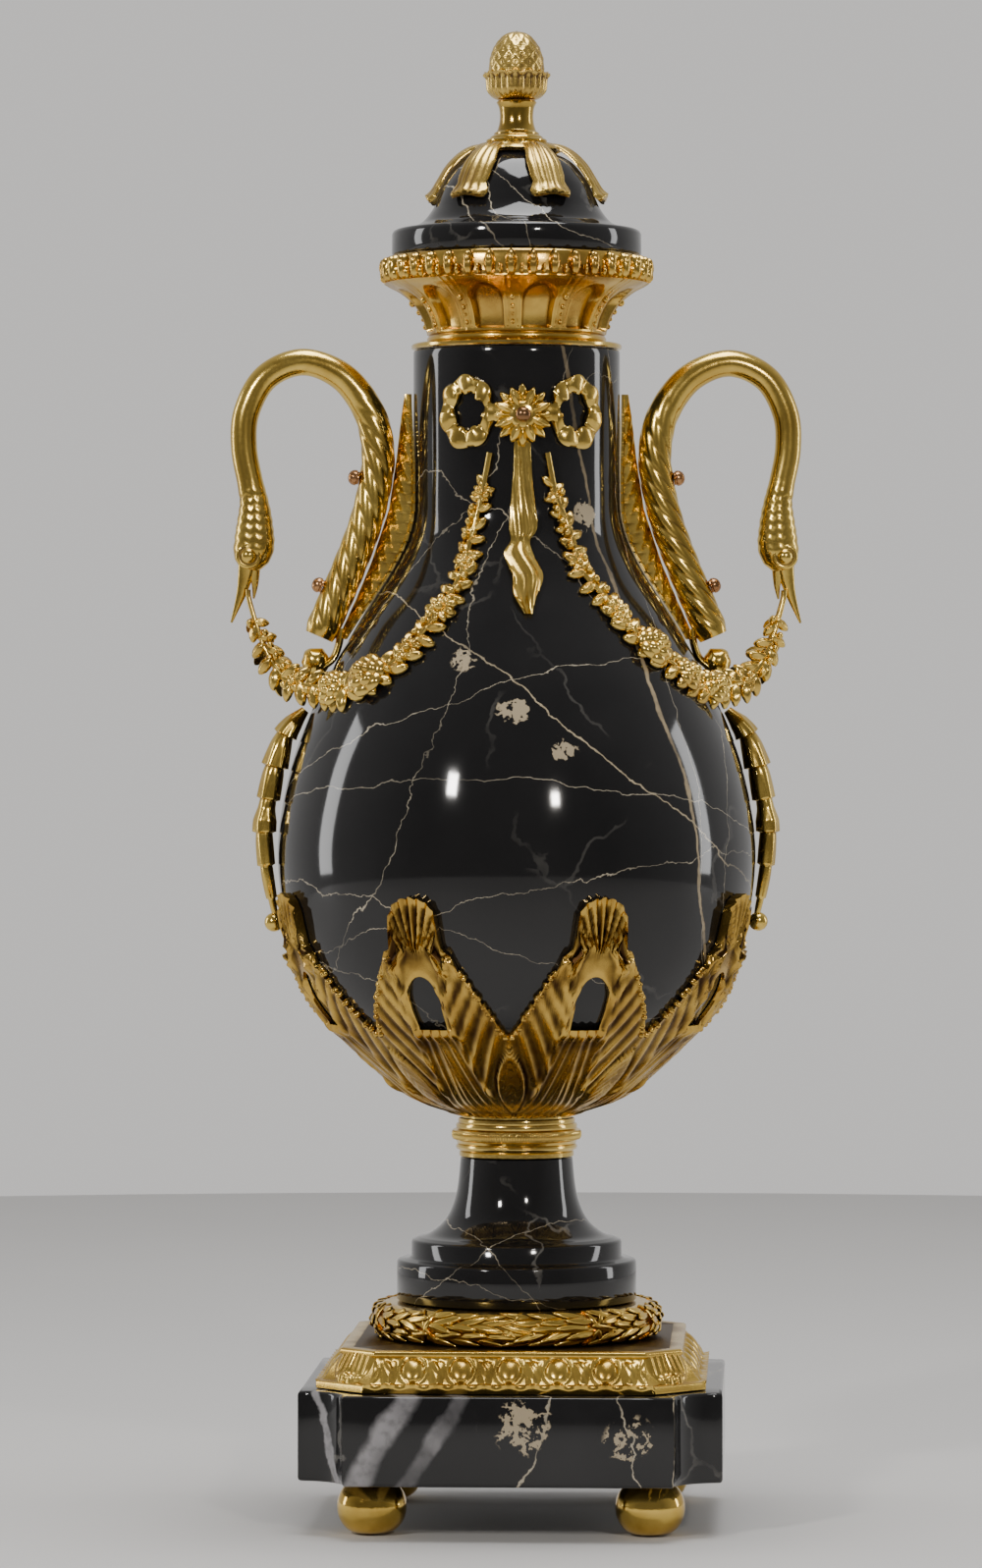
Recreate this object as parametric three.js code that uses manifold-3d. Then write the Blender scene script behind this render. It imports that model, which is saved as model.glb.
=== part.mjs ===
// Mantel urn in veined black marble with gilt bronze mounts.
// Millimetres, +Z up, front towards -Y. The origin is on the axis, at the underside of the feet.
import * as THREE from 'three';
import { mergeVertices } from 'three/addons/utils/BufferGeometryUtils.js';
import Module from 'manifold-3d';

const wasm = await Module();
wasm.setup();

// ---- Driving dimensions -------------------------------------------------------------------------

const GAP = 0.3; // clearance between pieces that touch

// Base
const FOOT = { radius: 12.9, flat: 5, height: 19.5, offset: 51.3, facets: 8 };
const SLAB = { half: 78, corner: 17.5, top: 53, arris: 1.6 };
const PLINTH = { half: 71.8, cut: 18.4, topHalf: 62, topCut: 13, top: 68, eggs: 4, relief: 1.1 };
const LAUREL = { radius: 54.6, top: 81, bundles: 10, relief: 0.9, facets: 30 };
const MARBLE_FOOT = {
  discRadius: 45.1, discTop: 97, stepRadius: 39.6, top: 135, topRadius: 21.1, facets: 24,
};
const COLLAR = { top: 152, bandRadius: 24.6, facets: 16 };

// Body: greatest radius, neck and wall
const BODY = {
  bottom: 152.3, bellyZ: 253, bellyRadius: 89.9, neckRadius: 38.9, top: 438.7, wall: 8, facets: 24,
};
const CUP = {
  leaves: 8, sector: 45, tip: 235, valley: 181.7, hole: 22.6,
  hang: 1.1, thickness: 1.4, curl: 0.8, rib: 0.9, windowRow: 3,
};
const CUP_WINDOW = { bottom: 186, top: 204 };
const NECK_RING = { radius: 39.6, hole: 31, top: 441, facets: 20 };
const GALLERY = { bays: 12, baseRadius: 33.5, rimRadius: 51.9, flute: 3, bead: 1.5, top: 474 };

// Lid and finial
const LID = { radius: 47, shoulder: 484, top: 514.5, facets: 24 };
const LID_LEAVES = { count: 6, collar: 14.5, reach: 34.2, tip: 495.5, halfAngle: 13, turn: -3 };
const STEM = { radius: 11.5, waist: 6.3, bottom: 517, top: 532.8, facets: 12 };
const BUD = { coneRadius: 10, calyxRadius: 12.6, calyxTop: 543, top: 559.1, scales: 6 };

// The marble body and its handles, bows and garlands are turned a little against the square base
const BODY_TURN = 5.5;

// Handles, drawn in the plane of the right-hand one: x outwards, z up
const SWAN = {
  sides: 7, stations: 17, root: 6.3, crest: 5.1, throat: 5.1, head: 7.9, twist: 7, ridge: 0.45,
};
const NUT = { radius: 2.9, height: 4.2, upper: 0.295, lower: 0.086 };
const SWAG = { lift: 0.9, stem: 1.5, smallestFront: 3.7, smallestBack: 4.5 };
const BOW = {
  height: 412.6, rosette: 12.1, petals: 8, crimps: 10, loopReach: 22, loopWide: 11.5, loopHigh: 12,
};

// ---- Materials ----------------------------------------------------------------------------------

const marble = () => new THREE.MeshStandardMaterial({ color: 0x0b0b0c, roughness: 0.12, metalness: 0 });
const gilt = () => new THREE.MeshStandardMaterial({ color: 0xc9a24a, roughness: 0.25, metalness: 1 });
const copper = () => new THREE.MeshStandardMaterial({ color: 0x9a6a3c, roughness: 0.3, metalness: 1 });

// ---- Solids -------------------------------------------------------------------------------------

const TAU = 2 * Math.PI;
const radians = THREE.MathUtils.degToRad;
const v2 = (x, y) => new THREE.Vector2(x, y);
const v3 = (x, y, z) => new THREE.Vector3(x, y, z);

// A point at an angle from the front (-Y), turning towards +X.
const polar = (radius, degrees, z) => v3(
  radius * Math.sin(radians(degrees)),
  -radius * Math.cos(radians(degrees)),
  z,
);

// Drops the triangles that lost their area when their corners were merged.
function withoutSlivers(index) {
  const kept = [];
  for (let i = 0; i < index.length; i += 3) {
    const [a, b, c] = [index[i], index[i + 1], index[i + 2]];
    if (a !== b && b !== c && c !== a) kept.push(a, b, c);
  }
  return kept;
}

function signedVolume(position, index) {
  const [a, b, c] = [v3(), v3(), v3()];
  let volume = 0;
  for (let i = 0; i < index.length; i += 3) {
    a.fromArray(position, 3 * index[i]);
    b.fromArray(position, 3 * index[i + 1]);
    c.fromArray(position, 3 * index[i + 2]);
    volume += a.dot(b.cross(c)) / 6;
  }
  return volume;
}

// Turns a closed geometry into a solid whose faces point out.
function toSolid(geometry) {
  const bare = geometry.clone();
  bare.deleteAttribute('normal');
  bare.deleteAttribute('uv');
  const merged = mergeVertices(bare, 1e-4);
  const vertProperties = new Float32Array(merged.attributes.position.array);
  const kept = withoutSlivers(merged.index.array);
  if (signedVolume(vertProperties, kept) < 0) kept.reverse();
  const triVerts = new Uint32Array(kept);
  return new wasm.Manifold(new wasm.Mesh({ numProp: 3, vertProperties, triVerts }));
}

function toGeometry(solid) {
  const mesh = solid.getMesh();
  const geometry = new THREE.BufferGeometry();
  geometry.setAttribute('position', new THREE.BufferAttribute(new Float32Array(mesh.vertProperties), 3));
  geometry.setIndex(new THREE.BufferAttribute(new Uint32Array(mesh.triVerts), 1));
  geometry.computeVertexNormals();
  return geometry;
}

const joined = (solids) => solids.reduce((whole, piece) => whole.add(piece));

// Turned work: a profile of (radius, height) pairs that starts and ends on the axis.
function turned(profile, facets) {
  const geometry = new THREE.LatheGeometry(profile.map(([r, z]) => v2(r, z)), facets);
  return toSolid(geometry.rotateX(Math.PI / 2));
}

// Cast work: closed rings of points, one above the other, capped at both ends, or joined last to first.
function cast(rings, { closed = false } = {}) {
  const count = rings[0].length;
  const points = rings.flat();
  const index = [];
  const last = closed ? rings.length : rings.length - 1;
  for (let i = 0; i < last; i++) {
    for (let j = 0; j < count; j++) {
      const next = (j + 1) % count;
      const above = ((i + 1) % rings.length) * count;
      index.push(i * count + j, i * count + next, above + next);
      index.push(i * count + j, above + next, above + j);
    }
  }
  if (!closed) {
    capRing(points, index, rings[0], 0, true);
    capRing(points, index, rings.at(-1), (rings.length - 1) * count, false);
  }
  const geometry = new THREE.BufferGeometry().setFromPoints(points);
  geometry.setIndex(index);
  return toSolid(geometry);
}

function capRing(points, index, ring, start, flipped) {
  const middle = ring.reduce((sum, p) => sum.add(p), v3(0, 0, 0)).divideScalar(ring.length);
  const centre = points.push(middle) - 1;
  for (let j = 0; j < ring.length; j++) {
    const next = (j + 1) % ring.length;
    index.push(centre, start + (flipped ? next : j), start + (flipped ? j : next));
  }
}

// A section swept along a curve that lies in a plane whose normal is `across`.
// section(t) gives the ring as [outward, across] pairs in millimetres.
function swept(curve, stations, section, across = v3(0, 1, 0)) {
  const rings = [];
  for (let i = 0; i <= stations; i++) {
    const t = i / stations;
    const tangent = curve.getTangentAt(t);
    const side = across.clone().addScaledVector(tangent, -across.dot(tangent)).normalize();
    const outward = side.clone().cross(tangent).normalize();
    const centre = curve.getPointAt(t);
    rings.push(section(t).map(([a, b]) => (
      centre.clone().addScaledVector(outward, a).addScaledVector(side, b)
    )));
  }
  return cast(rings);
}

// An oval ring of points for a swept section.
function oval(halfOut, halfAcross, sides, start = 0) {
  return Array.from({ length: sides }, (_, i) => {
    const angle = start + (TAU * i) / sides;
    return [halfOut * Math.cos(angle), halfAcross * Math.sin(angle)];
  });
}

// Straight lines between (position, value) pairs.
function ramp(pairs, at) {
  const upper = pairs.findIndex(([position]) => position >= at);
  if (upper === 0) return pairs[0][1];
  if (upper < 0) return pairs.at(-1)[1];
  const [[p0, v0], [p1, v1]] = [pairs[upper - 1], pairs[upper]];
  return v0 + ((v1 - v0) * (at - p0)) / (p1 - p0);
}

// ---- Base ---------------------------------------------------------------------------------------

function bunFoot() {
  const middle = FOOT.height / 2;
  const bulge = FOOT.radius - FOOT.flat;
  const profile = [[0, 0]];
  for (let i = 0; i <= 4; i++) {
    const angle = -Math.PI / 2 + (Math.PI * i) / 4;
    profile.push([FOOT.flat + bulge * Math.cos(angle), middle * (1 + Math.sin(angle))]);
  }
  profile.push([0, FOOT.height]);
  return turned(profile, FOOT.facets);
}

// A square with hollowed corners, its edges eased.
function baseSlab() {
  const { half, corner, arris, top } = SLAB;
  const straight = half - corner;
  const outline = new THREE.Shape();
  outline.moveTo(-straight, -half);
  outline.lineTo(straight, -half);
  outline.absarc(half, -half, corner, Math.PI, Math.PI / 2, true);
  outline.lineTo(half, straight);
  outline.absarc(half, half, corner, -Math.PI / 2, -Math.PI, true);
  outline.lineTo(-straight, half);
  outline.absarc(-half, half, corner, 0, -Math.PI / 2, true);
  outline.lineTo(-half, -straight);
  outline.absarc(-half, -half, corner, Math.PI / 2, 0, true);
  const bottom = FOOT.height + GAP;
  const geometry = new THREE.ExtrudeGeometry(outline, {
    depth: top - bottom - 2 * arris,
    bevelThickness: arris,
    bevelSize: arris,
    bevelOffset: -arris,
    bevelSegments: 1,
    curveSegments: 3,
  });
  return toSolid(geometry.translate(0, 0, bottom + arris));
}

// One level of the plinth: four sides of egg-and-leaf waves and four cut corners with a ribbed leaf.
function plinthLevel(half, cut, z, wave) {
  const ring = [];
  const straight = half - cut;
  const steps = 2 * PLINTH.eggs;
  for (let side = 0; side < 4; side++) {
    const turn = (side * Math.PI) / 2;
    const place = (x, y) => v3(x, y, z).applyAxisAngle(v3(0, 0, 1), turn);
    for (let i = 0; i <= steps; i++) {
      const out = i % 2 ? wave : 0;
      ring.push(place(-straight + (2 * straight * i) / steps, -half - out));
    }
    for (const [share, lift] of [[0.28, 0.2], [0.5, 1.4], [0.72, 0.2]]) {
      const out = (lift * wave) / Math.SQRT2;
      ring.push(place(straight + cut * share + out, -half + cut * share - out));
    }
  }
  return ring;
}

function plinthMount() {
  const { half, cut, topHalf, topCut, top, relief } = PLINTH;
  const bottom = SLAB.top + GAP;
  const bandFoot = half - 1;
  return cast([
    plinthLevel(half, cut, bottom, 0),
    plinthLevel(half, cut, bottom + 4, 0),
    plinthLevel(bandFoot - relief, cut, bottom + 5, relief),
    plinthLevel(topHalf + 2, topCut, bottom + 11.8, relief),
    plinthLevel(topHalf, topCut, top, 0),
  ]);
}

// A rounded ring of laurel in bundles, each leaf stepping down to the next.
function laurelRing() {
  const { radius, top, bundles, relief, facets } = LAUREL;
  const bottom = PLINTH.top + GAP;
  const middle = (top + bottom) / 2;
  const half = (top - bottom) / 2;
  const perBundle = facets / bundles;
  const rings = [];
  for (let level = 0; level <= 4; level++) {
    const angle = -Math.PI / 2 + (Math.PI * level) / 4;
    const roundness = Math.cos(angle);
    rings.push(Array.from({ length: facets }, (_, i) => {
      const leaf = ((i + level) % perBundle) / (perBundle - 1);
      const out = radius - half * 0.9 * (1 - roundness) - relief * roundness * leaf;
      return polar(out, (360 * i) / facets, middle + half * Math.sin(angle));
    }));
  }
  return cast(rings);
}

function marbleFoot() {
  const { discRadius, discTop, stepRadius, top, topRadius } = MARBLE_FOOT;
  const bottom = LAUREL.top + GAP;
  const stepTop = discTop + 7.5;
  const profile = [
    [0, bottom],
    [discRadius, bottom],
    [discRadius, discTop],
    [stepRadius, discTop],
    [stepRadius - 1, stepTop],
  ];
  const cove = new THREE.SplineCurve([
    v2(stepRadius - 2, stepTop + 0.4),
    v2(33, stepTop + 1.8),
    v2(26.5, stepTop + 8),
    v2(22.6, stepTop + 18),
    v2(topRadius, top),
  ]);
  for (const p of cove.getPoints(3)) profile.push([p.x, p.y]);
  profile.push([0, top]);
  return turned(profile, MARBLE_FOOT.facets);
}

function knurledCollar() {
  const { top, bandRadius } = COLLAR;
  const bottom = MARBLE_FOOT.top + GAP;
  const bandFoot = bottom + 6.7;
  return turned([
    [0, bottom],
    [21.4, bottom],
    [23.2, bandFoot - 1.6],
    [bandRadius, bandFoot],
    [bandRadius, bandFoot + 3.5],
    [22.8, bandFoot + 5],
    [20.7, top],
    [0, top],
  ], COLLAR.facets);
}

// ---- Body ---------------------------------------------------------------------------------------

// The outline of the marble, from its underside to the neck, as (radius, height).
const bodyCurve = new THREE.SplineCurve([
  v2(21.5, BODY.bottom),
  v2(41, 160.5),
  v2(69.7, CUP_WINDOW.bottom),
  v2(81.6, CUP_WINDOW.top),
  v2(87.6, 226),
  v2(BODY.bellyRadius, BODY.bellyZ),
  v2(84.9, 282),
  v2(75, 308),
  v2(60.9, 334),
  v2(46.5, 357.4),
  v2(40, 373.5),
  v2(BODY.neckRadius, 389),
]);
const bodyOutline = bodyCurve.getPoints(11).map((p) => [p.x, p.y]);
bodyOutline.push([BODY.neckRadius, BODY.top]);

const bodyRadius = (z) => ramp(bodyOutline.map(([r, height]) => [height, r]), z);

function marbleBody() {
  const { bottom, top, wall, facets, neckRadius, bellyZ, bellyRadius } = BODY;
  const bore = neckRadius - wall;
  const hollow = new THREE.SplineCurve([
    v2(bore, 385),
    v2(38, 357),
    v2(66, 309),
    v2(bellyRadius - wall, bellyZ),
    v2(72, 207),
    v2(40, 178),
    v2(0, bottom + 2 * wall),
  ]);
  const inner = hollow.getPoints(4).map((p) => [Math.max(p.x, 0), p.y]);
  return turned([[0, bottom], ...bodyOutline, [bore, top], ...inner], facets);
}

// A shell from two grids of points, outer and inner, with some cells left open.
// The grids run round in columns and up in rows; every open edge is closed through the wall.
function shell(outer, inner, isOpen) {
  const [rows, columns] = [outer.length, outer[0].length];
  const points = [...outer.flat(), ...inner.flat()];
  const index = [];
  const quad = (a, b, c, d) => {
    const along = points[a].distanceTo(points[c]) <= points[b].distanceTo(points[d]);
    index.push(...(along ? [a, b, c, a, c, d] : [b, c, d, b, d, a]));
  };
  const at = (row, column, side) => side * rows * columns + row * columns + (column % columns);
  const empty = (row, column) => row < 0 || row >= rows - 1 || isOpen(row, (column + columns) % columns);
  const wall = (r0, c0, r1, c1) => quad(at(r0, c0, 0), at(r0, c0, 1), at(r1, c1, 1), at(r1, c1, 0));
  for (let row = 0; row < rows - 1; row++) {
    for (let column = 0; column < columns; column++) {
      if (empty(row, column)) continue;
      const [up, next] = [row + 1, column + 1];
      quad(at(row, column, 0), at(row, next, 0), at(up, next, 0), at(up, column, 0));
      quad(at(row, column, 1), at(up, column, 1), at(up, next, 1), at(row, next, 1));
      if (empty(row - 1, column)) wall(row, column, row, next);
      if (empty(row + 1, column)) wall(up, next, up, column);
      if (empty(row, column - 1)) wall(up, column, row, column);
      if (empty(row, column + 1)) wall(row, next, up, next);
    }
  }
  const geometry = new THREE.BufferGeometry().setFromPoints(points);
  geometry.setIndex(index);
  return toSolid(geometry);
}

// Eight acanthus leaves in one casting, each with an arched window through it.
// By angle from the middle of a leaf: the heights of the rows, from the foot to the edge, and the relief.
const cupLeaf = [
  { offset: 0, rows: [160.5, 172, CUP_WINDOW.bottom, CUP_WINDOW.top, CUP.tip], relief: CUP.rib },
  { offset: 5.4, rows: [160.5, 172, CUP_WINDOW.bottom, 200, 229.5], relief: 0 },
  { offset: 6.8, rows: [160.5, 172, CUP_WINDOW.bottom, CUP_WINDOW.top, 215.5], relief: CUP.rib },
  { offset: 14, rows: [160.5, 168, 177, CUP_WINDOW.bottom, 200.3], relief: CUP.rib },
  { offset: CUP.sector / 2, rows: [160.5, 165, 170, 175, CUP.valley], relief: 0.4 },
];

function leafCup() {
  const { leaves, sector, thickness, hole, hang } = CUP;
  const columns = [];
  for (let leaf = 0; leaf < leaves; leaf++) {
    const middle = sector * (leaf + 0.5);
    for (const column of cupLeaf.slice(1, -1).reverse()) {
      columns.push({ ...column, angle: middle - column.offset });
    }
    for (const column of cupLeaf) {
      columns.push({ ...column, angle: middle + column.offset });
    }
  }
  const ring = (row, lift) => columns.map(({ angle, rows, relief }) => {
    const swell = lift > hang ? relief * Math.min(1, row / 3) : 0;
    const curl = row === rows.length - 1 ? CUP.curl : 0;
    return polar(bodyRadius(rows[row]) + lift + swell + curl, angle, rows[row]);
  });
  const circle = (radius, z) => columns.map(({ angle }) => polar(radius, angle, z));
  const levels = [...cupLeaf[0].rows.keys()];
  const bottom = BODY.bottom - thickness;
  const outer = [circle(hole, bottom), ...levels.map((row) => ring(row, hang + thickness))];
  const inner = [circle(hole, BODY.bottom - GAP), ...levels.map((row) => ring(row, hang))];
  const perLeaf = columns.length / leaves;
  const inWindow = (row, column) => row === CUP.windowRow && [2, 3].includes(column % perLeaf);
  return shell(outer, inner, inWindow);
}

function neckRing() {
  const { radius, hole, top } = NECK_RING;
  const bottom = BODY.top + GAP;
  return turnedRing([[hole, bottom], [radius, bottom], [radius, top], [hole, top]], NECK_RING.facets);
}

// Turned work with a hole through it: a closed profile that stays off the axis.
function turnedRing(profile, facets) {
  const circle = (r, z) => Array.from({ length: facets }, (_, i) => polar(r, (360 * i) / facets, z));
  return cast(profile.map(([r, z]) => circle(r, z)), { closed: true });
}

// Flutes between pilasters, under a rim of beads. Open from top to bottom.
function flutedGallery() {
  const { bays, baseRadius, rimRadius, flute, bead, top } = GALLERY;
  const bottom = NECK_RING.top + GAP;
  const bay = 360 / bays;
  const columns = [];
  for (let i = 0; i < bays; i++) {
    for (const offset of [-3.4, 3.4, 10, bay - 10]) columns.push([bay * i + offset, offset]);
  }
  const level = (z, radius, fluteDepth, beadDepth) => columns.map(([angle, offset], i) => {
    const hollow = offset > 4 ? fluteDepth : 0;
    return polar(radius - hollow - (i % 2 ? beadDepth : 0), angle, z);
  });
  return cast([
    level(bottom, baseRadius, 0, 0),
    level(bottom + 4, baseRadius + 0.6, flute * 0.8, 0),
    level(455, 38, flute * 1.2, 0),
    level(463, 49.5, 0, 0),
    level(467.5, rimRadius, 0, bead),
    level(472.5, rimRadius - 1, 0, bead),
    level(top, 40, 0, 0),
    level(bottom, 28, 0, 0),
  ], { closed: true });
}

// ---- Lid and finial -----------------------------------------------------------------------------

const lidBottom = GALLERY.top + GAP;
const lidOutline = [
  [LID.radius, lidBottom],
  [LID.radius, LID.shoulder - 1.4],
  [LID.radius - 1.6, LID.shoulder],
  [38.4, LID.shoulder + 1.2],
  [32.2, 490.6],
  [26.2, 503],
  [20.4, 509.8],
  [12, 513.6],
  [0, LID.top],
];

function marbleLid() {
  const underside = [[0, 503], [21, 499], [36, lidBottom]];
  return turned([...underside, ...lidOutline], LID.facets);
}

// Six leaves that droop from a collar over the lid and curl out at their ends.
function lidLeafMount() {
  const { count, collar, reach, tip, halfAngle, turn } = LID_LEAVES;
  const sector = 360 / count;
  const columns = [];
  for (let leaf = 0; leaf < count; leaf++) {
    for (const offset of [-halfAngle - 1.5, -halfAngle, 0, halfAngle, halfAngle + 1.5]) {
      columns.push([turn + sector * (leaf + 0.5) + offset, Math.abs(offset)]);
    }
  }
  const ring = (radius, z, gapRadius = radius, gapZ = z, ridge = 0) => columns.map(([angle, offset]) => {
    const lift = offset === 0 ? ridge : 0;
    return offset <= halfAngle ? polar(radius + lift, angle, z + lift) : polar(gapRadius, angle, gapZ);
  });
  const top = STEM.bottom - GAP;
  return cast([
    ring(collar, top),
    ring(25, 509.4, collar + 4, 514.2, 0.5),
    ring(31.4, 500.6, collar + 5, 513.6, 0.5),
    ring(reach, tip + 0.6, collar + 5.2, 513.2),
    ring(reach - 1, tip - 1, collar + 5, 512.8),
    ring(24.9, 508, collar + 3, 513.4),
    ring(12, LID.top),
    ring(8, LID.top + GAP),
  ]);
}

function finialStem() {
  const { radius, waist, bottom, top } = STEM;
  return turned([
    [0, bottom],
    [radius, bottom],
    [radius, bottom + 1.4],
    [9, bottom + 3],
    [waist + 0.6, bottom + 6.6],
    [waist, bottom + 10.5],
    [7.6, top - 0.6],
    [0, top],
  ], STEM.facets);
}

// A pine cone set in a cup of leaves.
function finialBud() {
  const { coneRadius, calyxRadius, calyxTop, top, scales } = BUD;
  const bottom = STEM.top + GAP;
  const sides = 2 * scales;
  const ring = (radius, z, relief, phase = 0) => Array.from({ length: sides }, (_, i) => (
    polar(radius - ((i + phase) % 2 ? relief : 0), (360 * i) / sides, z)
  ));
  return cast([
    ring(7.8, bottom, 0),
    ring(10.2, bottom + 2.6, 0.6),
    ring(calyxRadius, calyxTop, 1.6),
    ring(coneRadius - 0.2, calyxTop + 0.6, 0),
    ring(coneRadius, calyxTop + 4, 0.6, 1),
    ring(coneRadius - 1.6, calyxTop + 8.4, 0.6),
    ring(6.2, top - 3.2, 0.6, 1),
    ring(2.6, top, 0),
  ]);
}

// ---- Handles ------------------------------------------------------------------------------------

// The swan's neck, from its root beside the body, over the crest and down to the head.
const swanPath = new THREE.CatmullRomCurve3([
  v3(74, 0, 331.8),
  v3(64.8, 0, 353),
  v3(57, 0, 373.3),
  v3(53, 0, 390),
  v3(52.3, 0, 402),
  v3(55.6, 0, 415.5),
  v3(65.5, 0, 428.6),
  v3(80.3, 0, 434.2),
  v3(94.2, 0, 428.6),
  v3(101.6, 0, 415.5),
  v3(102.6, 0, 402),
  v3(100.2, 0, 388.5),
  v3(98.7, 0, 380),
  v3(99.2, 0, 367),
  v3(100.2, 0, 356),
]);

const swanThickness = [
  [0, SWAN.root - 0.5], [0.02, SWAN.root], [0.38, SWAN.root], [0.55, SWAN.crest], [0.84, SWAN.throat],
  [0.88, SWAN.throat + 0.3], [0.93, SWAN.head - 0.6], [0.955, SWAN.head], [0.98, SWAN.head - 1.6], [1, 3.2],
];

// Ridges twist round the rising part of the neck and die away at the crest.
function swanSection(t) {
  const radius = ramp(swanThickness, t);
  const ridge = SWAN.ridge * ramp([[0, 1], [0.36, 1], [0.48, 0]], t);
  const flat = t > 0.88 ? 0.84 : 1;
  return Array.from({ length: SWAN.sides }, (_, i) => {
    const angle = (TAU * i) / SWAN.sides + SWAN.twist * Math.min(t, 0.48);
    const reach = radius - (i % 2 ? 2 * ridge : 0);
    return [reach * Math.cos(angle), reach * flat * Math.sin(angle)];
  });
}

// A tapering half of the bill, from the head to its tip.
function mandible(root, tip, radius) {
  const line = new THREE.LineCurve3(root, tip);
  return swept(line, 1, (t) => oval(radius * (1 - t) + 0.35, radius * 0.9 * (1 - t) + 0.35, 5));
}

function swanHandle() {
  const eyes = new THREE.SphereGeometry(1, 6, 4);
  eyes.scale(3, SWAN.head - 0.6, 3);
  const bill = [
    mandible(v3(101.8, 0, 360), v3(107.6, 0, 335.8), 3.2),
    mandible(v3(98.8, 0, 359), v3(99, 0, 344.8), 2.1),
  ];
  const neck = swept(swanPath, SWAN.stations, swanSection);
  return joined([neck, toSolid(eyes.translate(101.3, 0, 361.5)), ...bill]);
}

// The leaf behind the neck: a channel whose serrated edges face the marble, with a scroll at its foot.
function featherMount() {
  const crests = [
    [330, 66.9], [345, 60.1], [358.9, 54.2], [378.9, 47.6], [397.4, 45], [413.3, 43.2], [422.5, 41.8],
  ];
  const halfWidth = [[330, 3], [345, 8.5], [365, 11], [395, 9], [412, 5], [422.5, 0.8]];
  const rows = 9;
  const rings = [];
  for (let row = 0; row <= rows; row++) {
    const z = 330 + (92.5 * row) / rows;
    const [crest, half] = [ramp(crests, z), ramp(halfWidth, z) - (row % 2 ? 0.9 : 0)];
    const back = Math.sqrt((bodyRadius(z) + 3 * GAP) ** 2 - half ** 2);
    const hollow = Math.max(bodyRadius(z) + 2 * GAP, crest - 2.2);
    rings.push([
      v3(crest, 0, z),
      v3(back + 0.66 * (crest - back), half * 0.6, z),
      v3(back, half, z),
      v3(hollow, 0, z),
      v3(back, -half, z),
      v3(back + 0.66 * (crest - back), -half * 0.6, z),
    ]);
  }
  const scroll = new THREE.SphereGeometry(1, 7, 4);
  scroll.scale(5.2, 5.6, 6.3);
  const stalk = new THREE.CatmullRomCurve3([
    v3(66.6, 0, 333),
    v3(67.8, 0, 327),
    v3(71, 0, 321),
    v3(75, 0, 320),
  ]);
  const stem = swept(stalk, 3, () => oval(1.7, 4, 5));
  return joined([cast(rings), stem, toSolid(scroll.translate(75.8, 0, 321.4))]);
}

// A domed nut standing out from the neck, at a place along it.
function domedNut(along) {
  const { radius, height } = NUT;
  const nut = new THREE.LatheGeometry([
    v2(0, 0), v2(radius, 0), v2(radius, height * 0.5), v2(radius * 0.7, height * 0.86), v2(0, height),
  ], 7);
  const tangent = swanPath.getTangentAt(along);
  const out = v3(0, 1, 0).cross(tangent);
  nut.applyQuaternion(new THREE.Quaternion().setFromUnitVectors(v3(0, 1, 0), out));
  const seat = swanPath.getPointAt(along).addScaledVector(out, ramp(swanThickness, along) + GAP);
  return toSolid(nut.translate(seat.x, seat.y, seat.z));
}

// A drop of husks down the side of the body, ending in a small ball that rests on the marble.
function sideDrop() {
  const path = new THREE.CatmullRomCurve3([
    v3(79.6, 0, 303.4),
    v3(86.6, 0, 295),
    v3(90.4, 0, 284.5),
    v3(92.9, 0, 273),
    v3(94.9, 0, 260),
    v3(94.5, 0, 248),
    v3(93.2, 0, 238),
    v3(90.9, 0, 226.5),
  ]);
  const husks = [
    [0, 2.6], [0.08, 4.2], [0.2, 5.2], [0.3, 4.6], [0.36, 5.4], [0.5, 4.2], [0.56, 5.2], [0.8, 3], [1, 1.4],
  ];
  const drop = swept(path, 10, (t) => {
    const at = path.getPointAt(t);
    const room = at.x - bodyRadius(at.z) - 1.5 * GAP;
    const half = ramp(husks, t);
    return oval(Math.min(half, room), half * 1.35, 5);
  });
  const ball = new THREE.SphereGeometry(3.7, 6, 4);
  return joined([drop, toSolid(ball.translate(91.4, 0, 223.6))]);
}

// ---- Garlands and bows --------------------------------------------------------------------------

// A point on the marble, lifted off it.
const onBody = (degrees, z, lift) => polar(bodyRadius(z) + lift, degrees, z);

// The way out of the marble at a point of the body.
function bodyNormal(degrees, z) {
  const slope = (bodyRadius(z + 2) - bodyRadius(z - 2)) / 4;
  return polar(1, degrees, -slope).normalize();
}

// Each half of a swag: (degrees from the front, height) down the body, then free points to the bill.
const swagOnBody = {
  right: [
    [13.2, 398.6], [17.6, 383.3], [24, 370], [26, 353.7],
    [33.6, 343], [41, 330], [53, 318.6], [67, 311.2],
  ],
  left: [
    [17.2, 398.6], [21.4, 383.3], [25.5, 367], [27, 352],
    [33.2, 336], [42, 321.4], [57, 311.6], [69, 310.6],
  ],
};
const swagToBill = [
  v3(84.5, -13, 313.6),
  v3(91, -7.6, 320),
  v3(96.2, -3.6, 330.4),
  v3(100.4, -1.6, 344),
  v3(101, -1.4, 349.4),
];

// Flowers and buds on each half, as [place along it, radius]. The swags carry those above a smallest size.
const swagFlowers = {
  right: [[0.09, 2.6], [0.24, 3.3], [0.37, 4.4], [0.47, 5.6], [0.57, 4.6], [0.67, 4.8], [0.77, 3.6]],
  left: [[0.08, 3], [0.23, 3.6], [0.34, 4.8], [0.44, 4], [0.54, 6.2], [0.66, 5.2], [0.77, 3.8]],
};

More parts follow.
